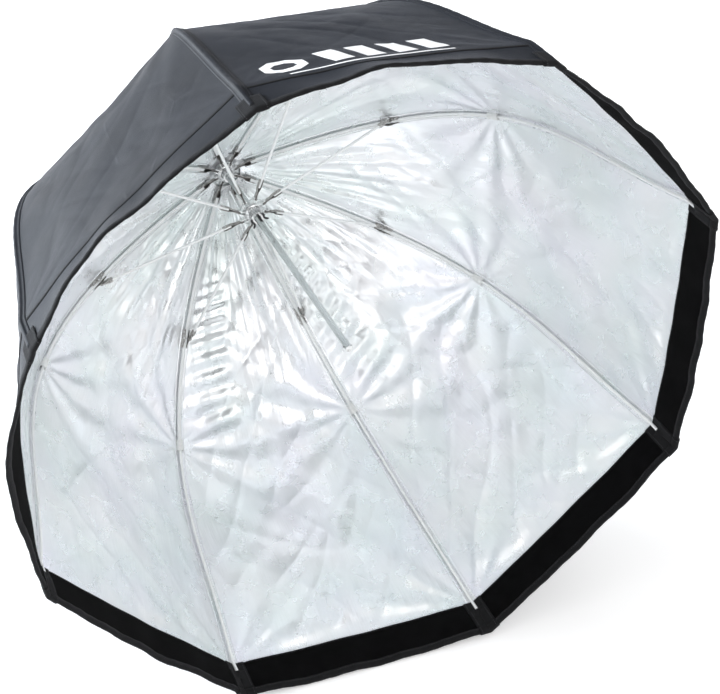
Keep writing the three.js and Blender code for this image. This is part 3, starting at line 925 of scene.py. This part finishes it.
def rim_band(number):
    """Loop tape sewn inside the rim, a strip outside over its seam, and the binding round the lip."""
    piece = Piece(f"loop_band_{number}")
    share = np.linspace(-1, 1, ACROSS)
    u, s = np.meshgrid(share, np.linspace(BAND_S, RIM_S - 0.6 * MM, 16))
    side = u * (half_width(s) - END_GAP)
    top = BAND_HIGH - (BAND_HIGH - BAND_HIGH_CORNER) * ease((np.abs(u) - 0.86) / 0.08)
    pillow = BAND_PILLOW * np.sin(np.pi * np.clip((s - BAND_S) / BAND_WIDTH, 0, 1))
    thick = top - BAND_LOW + pillow
    grid = panel_point(number, side, s, BAND_LOW + thick / 2)
    tape(piece, grid, thick, LOOP, np.stack([side, s], -1))
    stitch_line(piece, number, BAND_SEAM_S, BAND_HIGH + 0.3 * MM, DARK_THREAD)
    across = np.array([-1.7, -1.2, -0.6, 0.6, 1.2, 1.7])[:, None] * MM
    u, s = np.broadcast_arrays(share, BAND_SEAM_S + across)
    side = u * half_width(s)
    strip = panel_point(number, side, s, -CLOTH / 2 - 0.55 * MM + np.abs(across) / 5)
    tape(piece, strip, 0.5 * MM, WEBBING, np.stack([s, side], -1))
    binding(piece, number, share)
    stitch_line(piece, number, BINDING_SEAM_S, BINDING_IN + 0.55 * MM, DARK_THREAD)
    stitch_line(piece, number, BINDING_SEAM_S, -BINDING_OUT - 0.5 * MM, DARK_THREAD)
    made = piece.build(replaced=[f"rim_band_{number}"])
    fold_with_frame(made, number, "rim_panel")


def binding(piece, number, share):
    """Folded tape: down its inner leg, round the lip and back up its outer leg."""
    legs = np.array([
        (RIM_S - BINDING_LEG, BINDING_IN),
        (RIM_S - 3 * MM, BINDING_IN + 0.15 * MM),
        (RIM_S - 0.6 * MM, BINDING_IN),
        (RIM_S + BINDING_TURN, (BINDING_IN * 2 - BINDING_OUT) / 3),
        (RIM_S + BINDING_TURN, (BINDING_IN - BINDING_OUT * 2) / 3),
        (RIM_S - 0.6 * MM, -BINDING_OUT),
        (RIM_S - 3 * MM, -BINDING_OUT - 0.1 * MM),
        (RIM_S - BINDING_LEG, -BINDING_OUT),
    ])
    u = np.broadcast_to(share, (len(legs), len(share)))
    s = np.broadcast_to(legs[:, :1], u.shape)
    pucker = 0.25 * MM * np.sin(u * half_width(RIM_S) / (2.9 * MM) + number)
    lift = legs[:, 1:] + pucker * np.sign(legs[:, 1:])
    side = u * (half_width(s) - END_GAP)
    uv = np.stack([np.broadcast_to(distances(legs)[:, None], u.shape), side], -1)
    tape(piece, panel_point(number, side, s, lift), 0.7 * MM, WEBBING, uv)


# ---- seams and corners

# Half sections of the seam tapes, as (sideways, lift) in millimetres, from the edge to the middle.
SILVER_TAPE = [(-6.5, 0.8), (-4.5, 0.85), (-2, 0.9), (0, 1.0)]
PIPED_TAPE = [(-6, -0.85), (-4.5, -0.9), (-2.2, -1.0), (-1.5, -1.8), (-0.8, -2.6), (0, -2.9)]


def seam_tape(number):
    """Silver tape inside and piped black tape outside, over the seam that a rib runs along."""
    piece = Piece(f"seam_tape_{number}")
    rows = np.linspace(6 * MM, RIM_S - 7 * MM, 150)
    for half, material, thick, yarn in (
        (SILVER_TAPE, SILVER, 0.4 * MM, GREY_THREAD),
        (PIPED_TAPE, FABRIC, 0.6 * MM, DARK_THREAD),
    ):
        section = np.array(half + [(-q, lift) for q, lift in half[-2::-1]]) * MM
        q, s = np.meshgrid(section[:, 0], rows)
        pucker = 0.12 * MM * np.sin(s / (3.1 * MM) + q * 300)
        grid = seam_point(number, q, s, section[:, 1] + pucker)
        tape(piece, grid, thick, material, np.stack([q, s], -1))
        edge, lift = section[1]
        proud = lift + math.copysign(thick / 2 + 0.1 * MM, lift)
        for at in (edge, -edge):
            line = seam_point(number, at, rows, proud)
            beyond = seam_point(number, at, rows, 2 * proud)
            stitches(piece, line, beyond - line, yarn, 3.6 * MM)
    bend_at_tie(piece.build(), number)


def bend_at_tie(piece, number, reach=0.035):
    """Bakes the piece's placement into its mesh; nothing bends it at the tie."""
    tie, along, angle = rib_at(TIE_SHARE), rib_along(TIE_SHARE), rib_angle(number)
    start, end = (tuple(spoke(angle, r, 0.0, d)) for r, d in (tie - along * reach, tie + along * reach))
    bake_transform(piece)


STRAP_HALF = 12 * MM
STRAP = 1.1 * MM
STRAP_LIFT = 1.9 * MM
COVER_S = RIM_S - 33 * MM
COVER_LIFT = 3.2 * MM
TIP_BULGE = 3.4 * MM


def corner_strap(number):
    """Webbing folded over the rim at a corner; a second layer makes the pocket for the rib's tip."""
    piece = Piece(f"corner_strap_{number}")
    q = np.linspace(-1, 1, 25) * STRAP_HALF
    inside = [(s, 2.0 * MM) for s in np.linspace(BAND_S - 0.5 * MM, RIM_S - 9 * MM, 14)]
    over_lip = [(-6, 3.1), (-1, 3.4), (1.4, 2.2), (2.2, 0.6), (1.4, -1.3), (-1.5, -1.9)]
    over_lip = [(RIM_S + past * MM, lift * MM) for past, lift in over_lip]
    outside = [(s, -STRAP_LIFT) for s in np.linspace(RIM_S - 5 * MM, RIM_S - 24 * MM, 8)]
    legs = np.array(inside + over_lip + outside)
    strap_layer(piece, number, q, legs[:, :1], legs[:, 1:], 0)
    first = np.linspace(COVER_S, COVER_S + 12 * MM, 9)
    rows = np.concatenate([first, np.linspace(COVER_S + 15 * MM, RIM_S - 7 * MM, 9)])
    over_tip = 1 - ease((rows - COVER_S - 2 * MM) / (13 * MM))
    bulge = TIP_BULGE * over_tip[:, None] * np.exp(-((q[None] / (3.6 * MM)) ** 2))
    strap_layer(piece, number, q * 0.98, rows[:, None], COVER_LIFT + bulge, 1)
    piece.build(f"rib_tip_{number}", [f"corner_pocket_{number}"])


def strap_layer(piece, number, q, s, lift, seed):
    """One layer of webbing across the corner, with stitching along both edges."""
    q, s, lift = np.broadcast_arrays(q[None], s, lift)
    crease_crest_highlight = 0.25 * MM * RIPPLES[number](q / 0.009 + seed, s / 0.012)
    grid = seam_point(number, q, s, lift + crease_crest_highlight, 2.5 * MM)
    along = distances(grid[:, len(q[0]) // 2])
    uv = np.stack([q, np.broadcast_to(along[:, None], q.shape)], -1)
    out = grid_normals(grid)
    tape(piece, grid, STRAP, WEBBING, uv)
    for column in (2, len(q[0]) - 3):
        normals = out[:, column]
        line = grid[:, column] - normals * (STRAP / 2 + 0.1 * MM)
        stitches(piece, line, -normals, DARK_THREAD, 2.8 * MM)


def crown_patch():
    """Round fabric patch sewn over the points of the gores, behind the hub."""
    piece = Piece("crown_patch_cloth")
    radius = np.linspace(5.6, 33, 18) * MM
    depth = np.interp(radius, np.array([5.2, 17, 33]) * MM, np.array([-9.0, -8.0, -3.9]) * MM)
    a, r = np.meshgrid(np.linspace(0, math.tau, 97), radius)
    x, y = r * np.cos(a), r * np.sin(a)
    pull = np.cos(SIDES * (a - HALF_SECTOR)) * ease((r - 10 * MM) / (20 * MM))
    wave = 0.35 * pull + 0.25 * RIPPLES[1](6 * np.cos(a) + r * 90, 6 * np.sin(a))
    grid = spoke(0, x, -y, depth[:, None] - wave * MM)
    sheet(piece, grid, CLOTH, FABRIC, SILVER, FABRIC, np.stack([x, y], -1), wrap=True)
    for at in (4, len(radius) - 2):
        out = grid_normals(grid, True)[at]
        for way in (out, -out):
            stitches(piece, grid[at] + way * 0.55 * MM, way, DARK_THREAD, 2.6 * MM)
    piece.build("shaft", ["crown_patch"])


# ---- ribs


def in_rib_plane(angle, points):
    """Row-frame points and the sideways and inward directions along a path in the rib's plane."""
    points = np.asarray(points, float)
    turned_in = inward(unit(np.gradient(points, axis=0)))
    path = spoke(angle, points[:, 0], 0.0, points[:, 1])
    sideways = direction(angle, 0.0, 1.0, 0.0)
    return path, sideways, direction(angle, turned_in[:, 0], 0.0, turned_in[:, 1])


def channel_section(radius, opened):
    """Round rod section with a groove on the inner side; opened 1 is the full groove, 0 is round."""
    outline = circle(np.radians(np.linspace(120, 420, 15)))
    groove = np.array([(0.34, 0.95), (0.28, 0.45), (-0.28, 0.45), (-0.34, 0.95)])
    closed = circle(np.radians([56, 78, 102, 124]))
    return radius * np.concatenate([outline, groove * opened + closed * (1 - opened)])


def rib_rod(number):
    """The whole rod of a rib: a grooved channel up to the tie, then a thinner round rod to its tip."""
    rows = 34
    past_tie = np.linspace(TIE_SHARE, 1, rows)[1:]
    points = rib_at(np.concatenate([np.linspace(ROD_START_SHARE, TIE_SHARE, rows), past_tie]))
    wall = unit(RIM - cloth_at(1.0))
    ends = [points[-1] + wall * TIP_OVERHANG * f for f in (0.3, 0.6, 0.9, 0.97, 1.0)]
    points = np.concatenate([points, ends])
    length = distances(points)
    thin = ease((length - length[rows - 1] + 6 * MM) / (10 * MM))
    radius = RIB_RADIUS * (1 - thin) + TIP_RADIUS * thin
    radius[-2:] *= (0.93, 0.72)
    sections = [channel_section(r, 1 - t) for r, t in zip(radius, thin)]
    piece = Piece(f"rib_rod_{number}")
    sweep(piece, *in_rib_plane(rib_angle(number), points), sections, ROD_WHITE)
    made = piece.build(replaced=[f"rib_inner_{number}", f"rib_outer_{number}"])
    bend_at_tie(made, number)


def u_section(half_gap, wall, low, high):
    """Folded sheet metal, open towards the inside of the canopy."""
    g, w, floor = half_gap, half_gap + wall, low + wall
    outer = [(-w, high), (-w, low), (w, low), (w, high)]
    return np.array(outer + [(g, high), (g, floor), (-g, floor), (-g, high)]) * MM


def fork(piece, angle, start, end, eye_gap, rod_gap, flare, half_height, side=0.0):
    """Folded sheet fork: a narrow eye round the hinge wire that widens to grip the rod."""
    length = np.linalg.norm(end - start) / MM
    along = unit(end - start) * MM
    stations = [(-2.1, 0.35), (-1.5, 0.72), (-0.7, 0.95), (0.4, 1.0), (flare - 3, 1.0), (flare + 2, 1.05)]
    stations += [(length - 3, 1.05), (length - 1, 0.85), (length, 0.5)]
    sections, points = [], []
    for at, share in stations:
        gap = eye_gap + (rod_gap - eye_gap) * ease((at - flare + 3) / 5)
        sections.append(u_section(gap, 0.5, -half_height * share, half_height * share))
        points.append(start + along * at)
    path, sideways, inwards = in_rib_plane(angle, points)
    sweep(piece, path + sideways * side, sideways, inwards, sections, DARK_STEEL)


def rivet(piece, angle, at, half_length, head, side=0.0):
    """Domed rivet across a fitting."""
    h, r = half_length, head
    outer = [(0.6 * r, h - 0.1), (r, h), (0.55 * r, h + 0.5), (0, h + 0.6)]
    profile = [(a * MM, -b * MM) for a, b in outer[::-1]] + [(a * MM, b * MM) for a, b in outer]
    centre = spoke(angle, at[0], side, at[1])
    turned(piece, centre, direction(angle, 0.0, 1.0, 0.0), profile, NICKEL, 12)


def rib_fittings(number):
    """Hinge fork at the crown, saddle bracket for the stretcher, and the cloth tie to the seam."""
    piece = Piece(f"rib_fittings_{number}")
    angle = rib_angle(number)
    pivot = rib_at(0.0)
    along = unit(rib_at(ROD_START_SHARE) - pivot)
    fork(piece, angle, pivot, pivot + along * 27 * MM, 0.65, 2.45, 13, 1.8)
    rivet(piece, angle, pivot + along * 24 * MM, 2.95, 1.1)
    bracket, tangent = rib_at(BRACKET_SHARE), rib_along(BRACKET_SHARE) * MM
    saddle = [(11.5, 1.2), (10.5, 2.6), (5, 2.9), (3.6, 4.7)]
    saddle = [(-at, top) for at, top in saddle] + saddle[::-1]
    points = [bracket + tangent * at for at, _ in saddle]
    sections = [u_section(2.45, 0.6, -3.0, top) for _, top in saddle]
    sweep(piece, *in_rib_plane(angle, points), sections, DARK_STEEL)
    rivet(piece, angle, bracket_pivot(), 4.9, 1.5, side=1.7 * MM)
    for at in (-7.6, 7.6):
        rivet(piece, angle, bracket + tangent * at, 3.05, 0.9)
    cloth_tie(piece, angle)
    piece.build(f"rib_{number}")


def bracket_pivot():
    """(radius, depth) of the pin that joins a stretcher to its rib."""
    return rib_at(BRACKET_SHARE) + inward(rib_along(BRACKET_SHARE)) * BRACKET_PIVOT_INSET


def cloth_tie(piece, angle):
    """Two loops of white tape round the rod, where it is tied to the seam behind it."""
    tie, tangent = rib_at(TIE_SHARE), rib_along(TIE_SHARE)
    turned_in = inward(tangent)
    ahead = direction(angle, tangent[0], 0.0, tangent[1])
    inwards = direction(angle, turned_in[0], 0.0, turned_in[1])
    sideways = direction(angle, 0.0, 1.0, 0.0)
    turn = around(28)[:, None]
    for shift, radius, wide in ((-2.0, 3.7, 5.2), (3.8, 4.1, 3.0)):
        centre = spoke(angle, tie[0], 0.0, tie[1]) + ahead * shift * MM - inwards * 0.5 * MM
        outwards = np.cos(turn) * sideways + np.sin(turn) * inwards
        path = centre + outwards * radius * MM + np.sin(turn * 2 + shift) * ahead * 0.5 * MM
        section = np.array([(-wide, -0.5), (wide, -0.5), (wide, 0.5), (-wide, 0.5)]) * MM
        sweep(piece, path, -ahead, outwards, section, COTTON, closed=True)


# ---- stretchers


def stretcher(number):
    """White rod between a fork on the runner's wire and a fork on the rib's bracket."""
    piece = Piece(f"stretcher_arm_{number}")
    angle = rib_angle(number)
    start, end = np.array([STRETCHER_PIVOT_RADIUS, RUNNER_DEPTH]), bracket_pivot()
    along = unit(end - start) * MM
    fork(piece, angle, start, start + along * 25, 0.5, 1.85, 12, 2.2, STRETCHER_SIDE)
    fork(piece, angle, end, end - along * 15, 0.5, 1.85, 7, 2.0, STRETCHER_SIDE)
    rivet(piece, angle, start + along * 21, 2.35, 0.9, STRETCHER_SIDE)
    points = [start + along * 14, start + along * 60, end - along * 40, end - along * 8]
    path, sideways, inwards = in_rib_plane(angle, points)
    section = STRETCHER_RADIUS * circle(around(14))
    sweep(piece, path + sideways * STRETCHER_SIDE, sideways, inwards, section, ROD_WHITE)
    piece.build(f"stretcher_{number}", [f"stretcher_{number}"])


# ---- crown hub and runner


def revolve(piece, loop, material, steps=64, flute=None):
    """Ring about the shaft from a closed loop of (radius, depth) points; flute adds to the radius."""
    turn = around(steps)
    rows = []
    for radius, depth in loop:
        r = np.full(steps, radius * MM)
        if flute is not None:
            r = r + flute(turn, radius, depth)
        rows.append(spoke(0, r * np.cos(turn), r * np.sin(turn), depth * MM))
    full = numbered(len(rows), steps, True)
    full = np.concatenate([full, full[:1]])
    piece.add(np.array(rows).reshape(-1, 3), [quads(full)[:, ::-1].tolist()], [material])


def cheek(piece, angle, side, reach, depth):
    """One side plate of a hinge slot, with a rounded outer end."""
    start, half_height, w = 8.5, 3.1, 0.45
    stations = [(start, 1.0), (reach - 3, 1.0), (reach - 1.4, 0.85), (reach - 0.4, 0.55), (reach, 0.2)]
    points = np.array([(r * MM, depth) for r, _ in stations])
    heights = [half_height * share for _, share in stations]
    sections = [np.array([(-w, -h), (w, -h), (w, h), (-w, h)]) * MM for h in heights]
    path, sideways, inwards = in_rib_plane(angle, points)
    sweep(piece, path + sideways * side, sideways, inwards, sections, NICKEL)


def hinge_cheeks(piece, side, reach, depth):
    """A pair of cheeks at each of the eight hinges round the shaft."""
    for number in SPOKES:
        for away in (-2.0, 2.0):
            cheek(piece, rib_angle(number), side + away * MM, reach, depth)


def crown_hub_body():
    """Hub at the back end of the shaft: a turned core and a pair of cheeks for each rib."""
    piece = Piece("crown_hub_body")
    loop = [(4.5, -6), (8.2, -6), (8.6, -5.4), (8.6, -3.6), (10.8, -3.1), (11.4, -2.4), (11.4, 2.4)]
    loop += [(10.8, 3.1), (7.6, 3.7), (7.2, 11.4), (6.8, 12), (4.5, 12)]
    revolve(piece, loop[::-1], NICKEL)
    hinge_cheeks(piece, 0.0, 16.8, 0.0)
    piece.build("shaft", ["crown_hub"])


def runner_body():
    """Runner: a turned core on its sleeve, a fluted grip, and a pair of cheeks for each stretcher."""
    piece = Piece("runner_body")
    d = RUNNER_DEPTH / MM
    core = [(4.5, -8), (6.4, -8), (6.7, -7.4), (6.7, -4.2), (10.6, -3.6), (11.4, -2.6), (11.4, 2.6)]
    core += [(10.6, 3.6), (7.0, 4.2), (6.7, 17), (4.5, 17)]
    grip = [(6.6, 4.4), (8.6, 4.4), (8.6, 5.4), (7.7, 5.8), (7.4, 15.2), (8.1, 15.5), (8.1, 16.6)]
    grip += [(6.6, 16.6)]

    def fluted(turn, radius, depth):
        return 0.45 * MM * np.cos(18 * turn) * (radius > 7.2) * (5.6 < depth - d < 15.4)

    revolve(piece, [(r, d + t) for r, t in core[::-1]], NICKEL)
    revolve(piece, [(r, d + t) for r, t in grip[::-1]], NICKEL, 144, fluted)
    hinge_cheeks(piece, STRETCHER_SIDE, 19.6, RUNNER_DEPTH)
    piece.build("runner", ["runner"])


def runner_claws():
    """Two black moulded claws that flare from the front of the runner's sleeve."""
    piece = Piece("runner_claws")
    # (depth past the runner's middle, radius, half width, half thickness), in millimetres
    stations = [(14.5, 8.2, 2.0, 1.0), (17.0, 8.4, 2.4, 1.2), (19.5, 7.4, 2.5, 1.2), (22.0, 6.9, 2.3, 1.1)]
    stations += [(24.5, 7.5, 2.0, 1.0), (27.0, 9.3, 1.6, 0.8), (28.4, 10.7, 1.1, 0.5)]
    points = np.array([(r * MM, RUNNER_DEPTH + d * MM) for d, r, _, _ in stations])
    sections = [circle(around(12), w, t) * MM for _, _, w, t in stations]
    for angle in (math.radians(30), math.radians(210)):
        sweep(piece, *in_rib_plane(angle, points), sections, PLASTIC)
    piece.build("runner")


# ---- print on the top panel

PRINTED_PANEL = 3
INK_LIFT = -CLOTH / 2 - 0.12 * MM


def patch(piece, number, corners, rows, cols):
    """Printed patch between four (side, s) corners in millimetres, on the outside of a panel."""
    a, b, c, d = [np.array(corner) * MM for corner in corners]
    u, v = np.meshgrid(np.linspace(0, 1, cols), np.linspace(0, 1, rows))
    u, v = u[..., None], v[..., None]
    flat = a * (1 - u) * (1 - v) + b * u * (1 - v) + c * u * v + d * (1 - u) * v
    grid = panel_point(number, flat[..., 0], flat[..., 1], INK_LIFT)
    tape(piece, grid, 0.1 * MM, INK, flat)


def panel_print(number):
    """Plain emblem: an octagon ring, four slanted bars and a thin rule under them."""
    piece = Piece(f"panel_emblem_{number}")
    centre, outer, inner = np.array([92, 585]), 24, 13
    turns = HALF_SECTOR + np.arange(SIDES + 1) * SECTOR
    corners = circle(turns)
    for a, b in zip(corners[:-1], corners[1:]):
        ring = [centre + inner * a, centre + inner * b, centre + outer * b, centre + outer * a]
        patch(piece, number, ring, 8, 8)
    for left in (55, 22, -11, -44):
        patch(piece, number, [(left - 20, 563), (left, 563), (left - 8, 607), (left - 28, 607)], 14, 8)
    patch(piece, number, [(-72, 617), (98, 617), (98, 620.5), (-72, 620.5)], 3, 60)
    fold_with_frame(piece.build(), number, "rim_panel")


# ---- CAD pieces that stay


def finish_cad(name, material, bevel):
    """Gives a CAD node its material, rounded edges and smooth shading, without moving a vertex."""
    node = frame["nodes"][name]
    mesh = node.data
    mesh.materials.clear()
    mesh.materials.append(material)
    if "custom_normal" in mesh.attributes:
        mesh.attributes.remove(mesh.attributes["custom_normal"])
    mesh.polygons.foreach_set("use_smooth", [True] * len(mesh.polygons))
    weld = node.modifiers.new("weld", "WELD")
    weld.merge_threshold = 0.01 * MM
    rounded = node.modifiers.new("rounded", "BEVEL")
    rounded.width = bevel
    rounded.segments = 2
    rounded.limit_method = "ANGLE"
    rounded.angle_limit = math.radians(32)
    rounded.harden_normals = True


# ---- studio

CAMERA_AZIMUTH = math.radians(-24.65)
CAMERA_ELEVATION = math.radians(35.04)
CAMERA_ROLL = math.radians(3.25)
CAMERA_DISTANCE = 2.625
CAMERA_LENS = 96.6
CAMERA_TARGET = Vector((0.1957, 0.3994, -0.3085))
FLOOR_REACH = 14.0
FLOOR_GAP = 2 * MM
DIM_CORNER = (0.34, 0.91, 0.22)


def camera():
    a, e = CAMERA_AZIMUTH, CAMERA_ELEVATION
    back = Vector((math.sin(a) * math.cos(e), -math.cos(a) * math.cos(e), math.sin(e)))
    right = Vector((math.cos(a), math.sin(a), 0))
    up = back.cross(right)
    rolled_right = right * math.cos(CAMERA_ROLL) + up * math.sin(CAMERA_ROLL)
    rolled_up = back.cross(rolled_right)
    data = bpy.data.cameras.new("camera")
    data.lens = CAMERA_LENS
    data.sensor_width = 36
    made = add_to_scene("camera", data)
    turn = Matrix((rolled_right, rolled_up, back)).transposed().to_4x4()
    made.matrix_world = Matrix.Translation(CAMERA_TARGET + back * CAMERA_DISTANCE) @ turn
    bpy.context.scene.camera = made


def soft_light(name, place, aim, size, power, tint=(1, 1, 1)):
    data = bpy.data.lights.new(name, "AREA")
    data.shape = "RECTANGLE"
    data.size, data.size_y = size
    data.energy = power
    data.color = tint
    made = add_to_scene(name, data)
    made.location = place
    made.rotation_euler = (Vector(aim) - Vector(place)).to_track_quat("-Z", "Y").to_euler()


def stage_sheet(name, middle, across, up, material):
    """Rectangle that isn't part of the object; across and up lead from its middle to its edges."""
    mesh = bpy.data.meshes.new(name)
    middle, across, up = Vector(middle), Vector(across), Vector(up)
    low_edge, high_edge = middle - up, middle + up
    corners = [low_edge - across, low_edge + across, high_edge + across, high_edge - across]
    mesh.from_pydata(corners, [], [(0, 1, 2, 3)])
    mesh.materials.append(material)
    made = add_to_scene(name, mesh)
    return made


def dark_card(name, place, width, height):
    """Black card beside the object that only shiny surfaces reflect, so that folds show."""
    g = Surface(name)
    black = g.mix(g.noise(g.place(), 4, 3), (0.008, 0.008, 0.009), (0.02, 0.02, 0.022))
    material = g.finish(Base_Color=black, Roughness=0.9)
    card = stage_sheet(name, (0, 0, 0), (width / 2, 0, 0), (0, 0, height / 2), material)
    card.location = place
    card.visible_camera = card.visible_diffuse = card.visible_shadow = False


def surroundings():
    """White room with brighter and dimmer patches and a dim corner; the camera sees it plain white."""
    world = bpy.data.worlds.new("studio")
    world.use_nodes = True
    g = Nodes(world.node_tree)
    where = g.node("TexCoord", output="Generated")
    patches = g.span(g.noise(where, 2.6, 1.0, 0.5), 0.38, 0.62, 0.62, 2.2)
    facing = g.node("VectorMath", {0: where, 1: DIM_CORNER}, "Value", operation="DOT_PRODUCT")
    strength = g.math("MULTIPLY", patches, g.span(facing, 0.45, 0.9, 1.0, 0.25))
    seen = g.node("Background", {"Strength": strength})
    plain = g.node("Background", {"Color": (1, 1, 1), "Strength": 1.0})
    to_camera = g.node("LightPath", output="Is Camera Ray")
    mixed = g.node("MixShader", {0: to_camera, 1: seen, 2: plain})
    output = g.tree.nodes.new("ShaderNodeOutputWorld")
    g.tree.links.new(mixed, output.inputs["Surface"])
    bpy.context.scene.world = world


def studio():
    """Pale floor, white surroundings and large soft lights."""
    below = (0, 0, cad_low.z - FLOOR_GAP)
    stage_sheet("floor", below, (FLOOR_REACH, 0, 0), (0, FLOOR_REACH, 0), floor_paint())
    surroundings()
    soft_light("left_light", (-3.2, 2.2, 0.9), (0, 0.1, 0), (2.2, 1.4), 320, (0.84, 0.92, 1.0))
    soft_light("front_light", (0.6, -3.2, 2.2), (0, 0.2, 0), (2.4, 2.4), 10)
    dark_card("low_card", (0.9, -2.3, 0.0), 2.8, 1.3)
    dark_card("back_card", (1.3, 2.5, 1.5), 3.0, 2.0)
    bpy.context.scene.view_settings.view_transform = "Standard"


for k in SPOKES:
    canopy_panel(k)
    rim_band(k)
    seam_tape(k)
    corner_strap(k)
    rib_rod(k)
    rib_fittings(k)
    stretcher(k)
crown_patch()
crown_hub_body()
runner_body()
runner_claws()
panel_print(PRINTED_PANEL)
finish_cad("shaft_tube", STEEL, 0.12 * MM)
finish_cad("shaft_end_plug", NICKEL, 0.3 * MM)
finish_cad("stop_pin", DARK_STEEL, 0.1 * MM)
finish_cad("crown_cap", PLASTIC, 0.3 * MM)
finish_cad("runner_catch", PLASTIC, 0.2 * MM)
for thin_part in ("catch_spring", "crown_wire", "runner_wire"):
    finish_cad(thin_part, STEEL, 0.05 * MM)
camera()
studio()
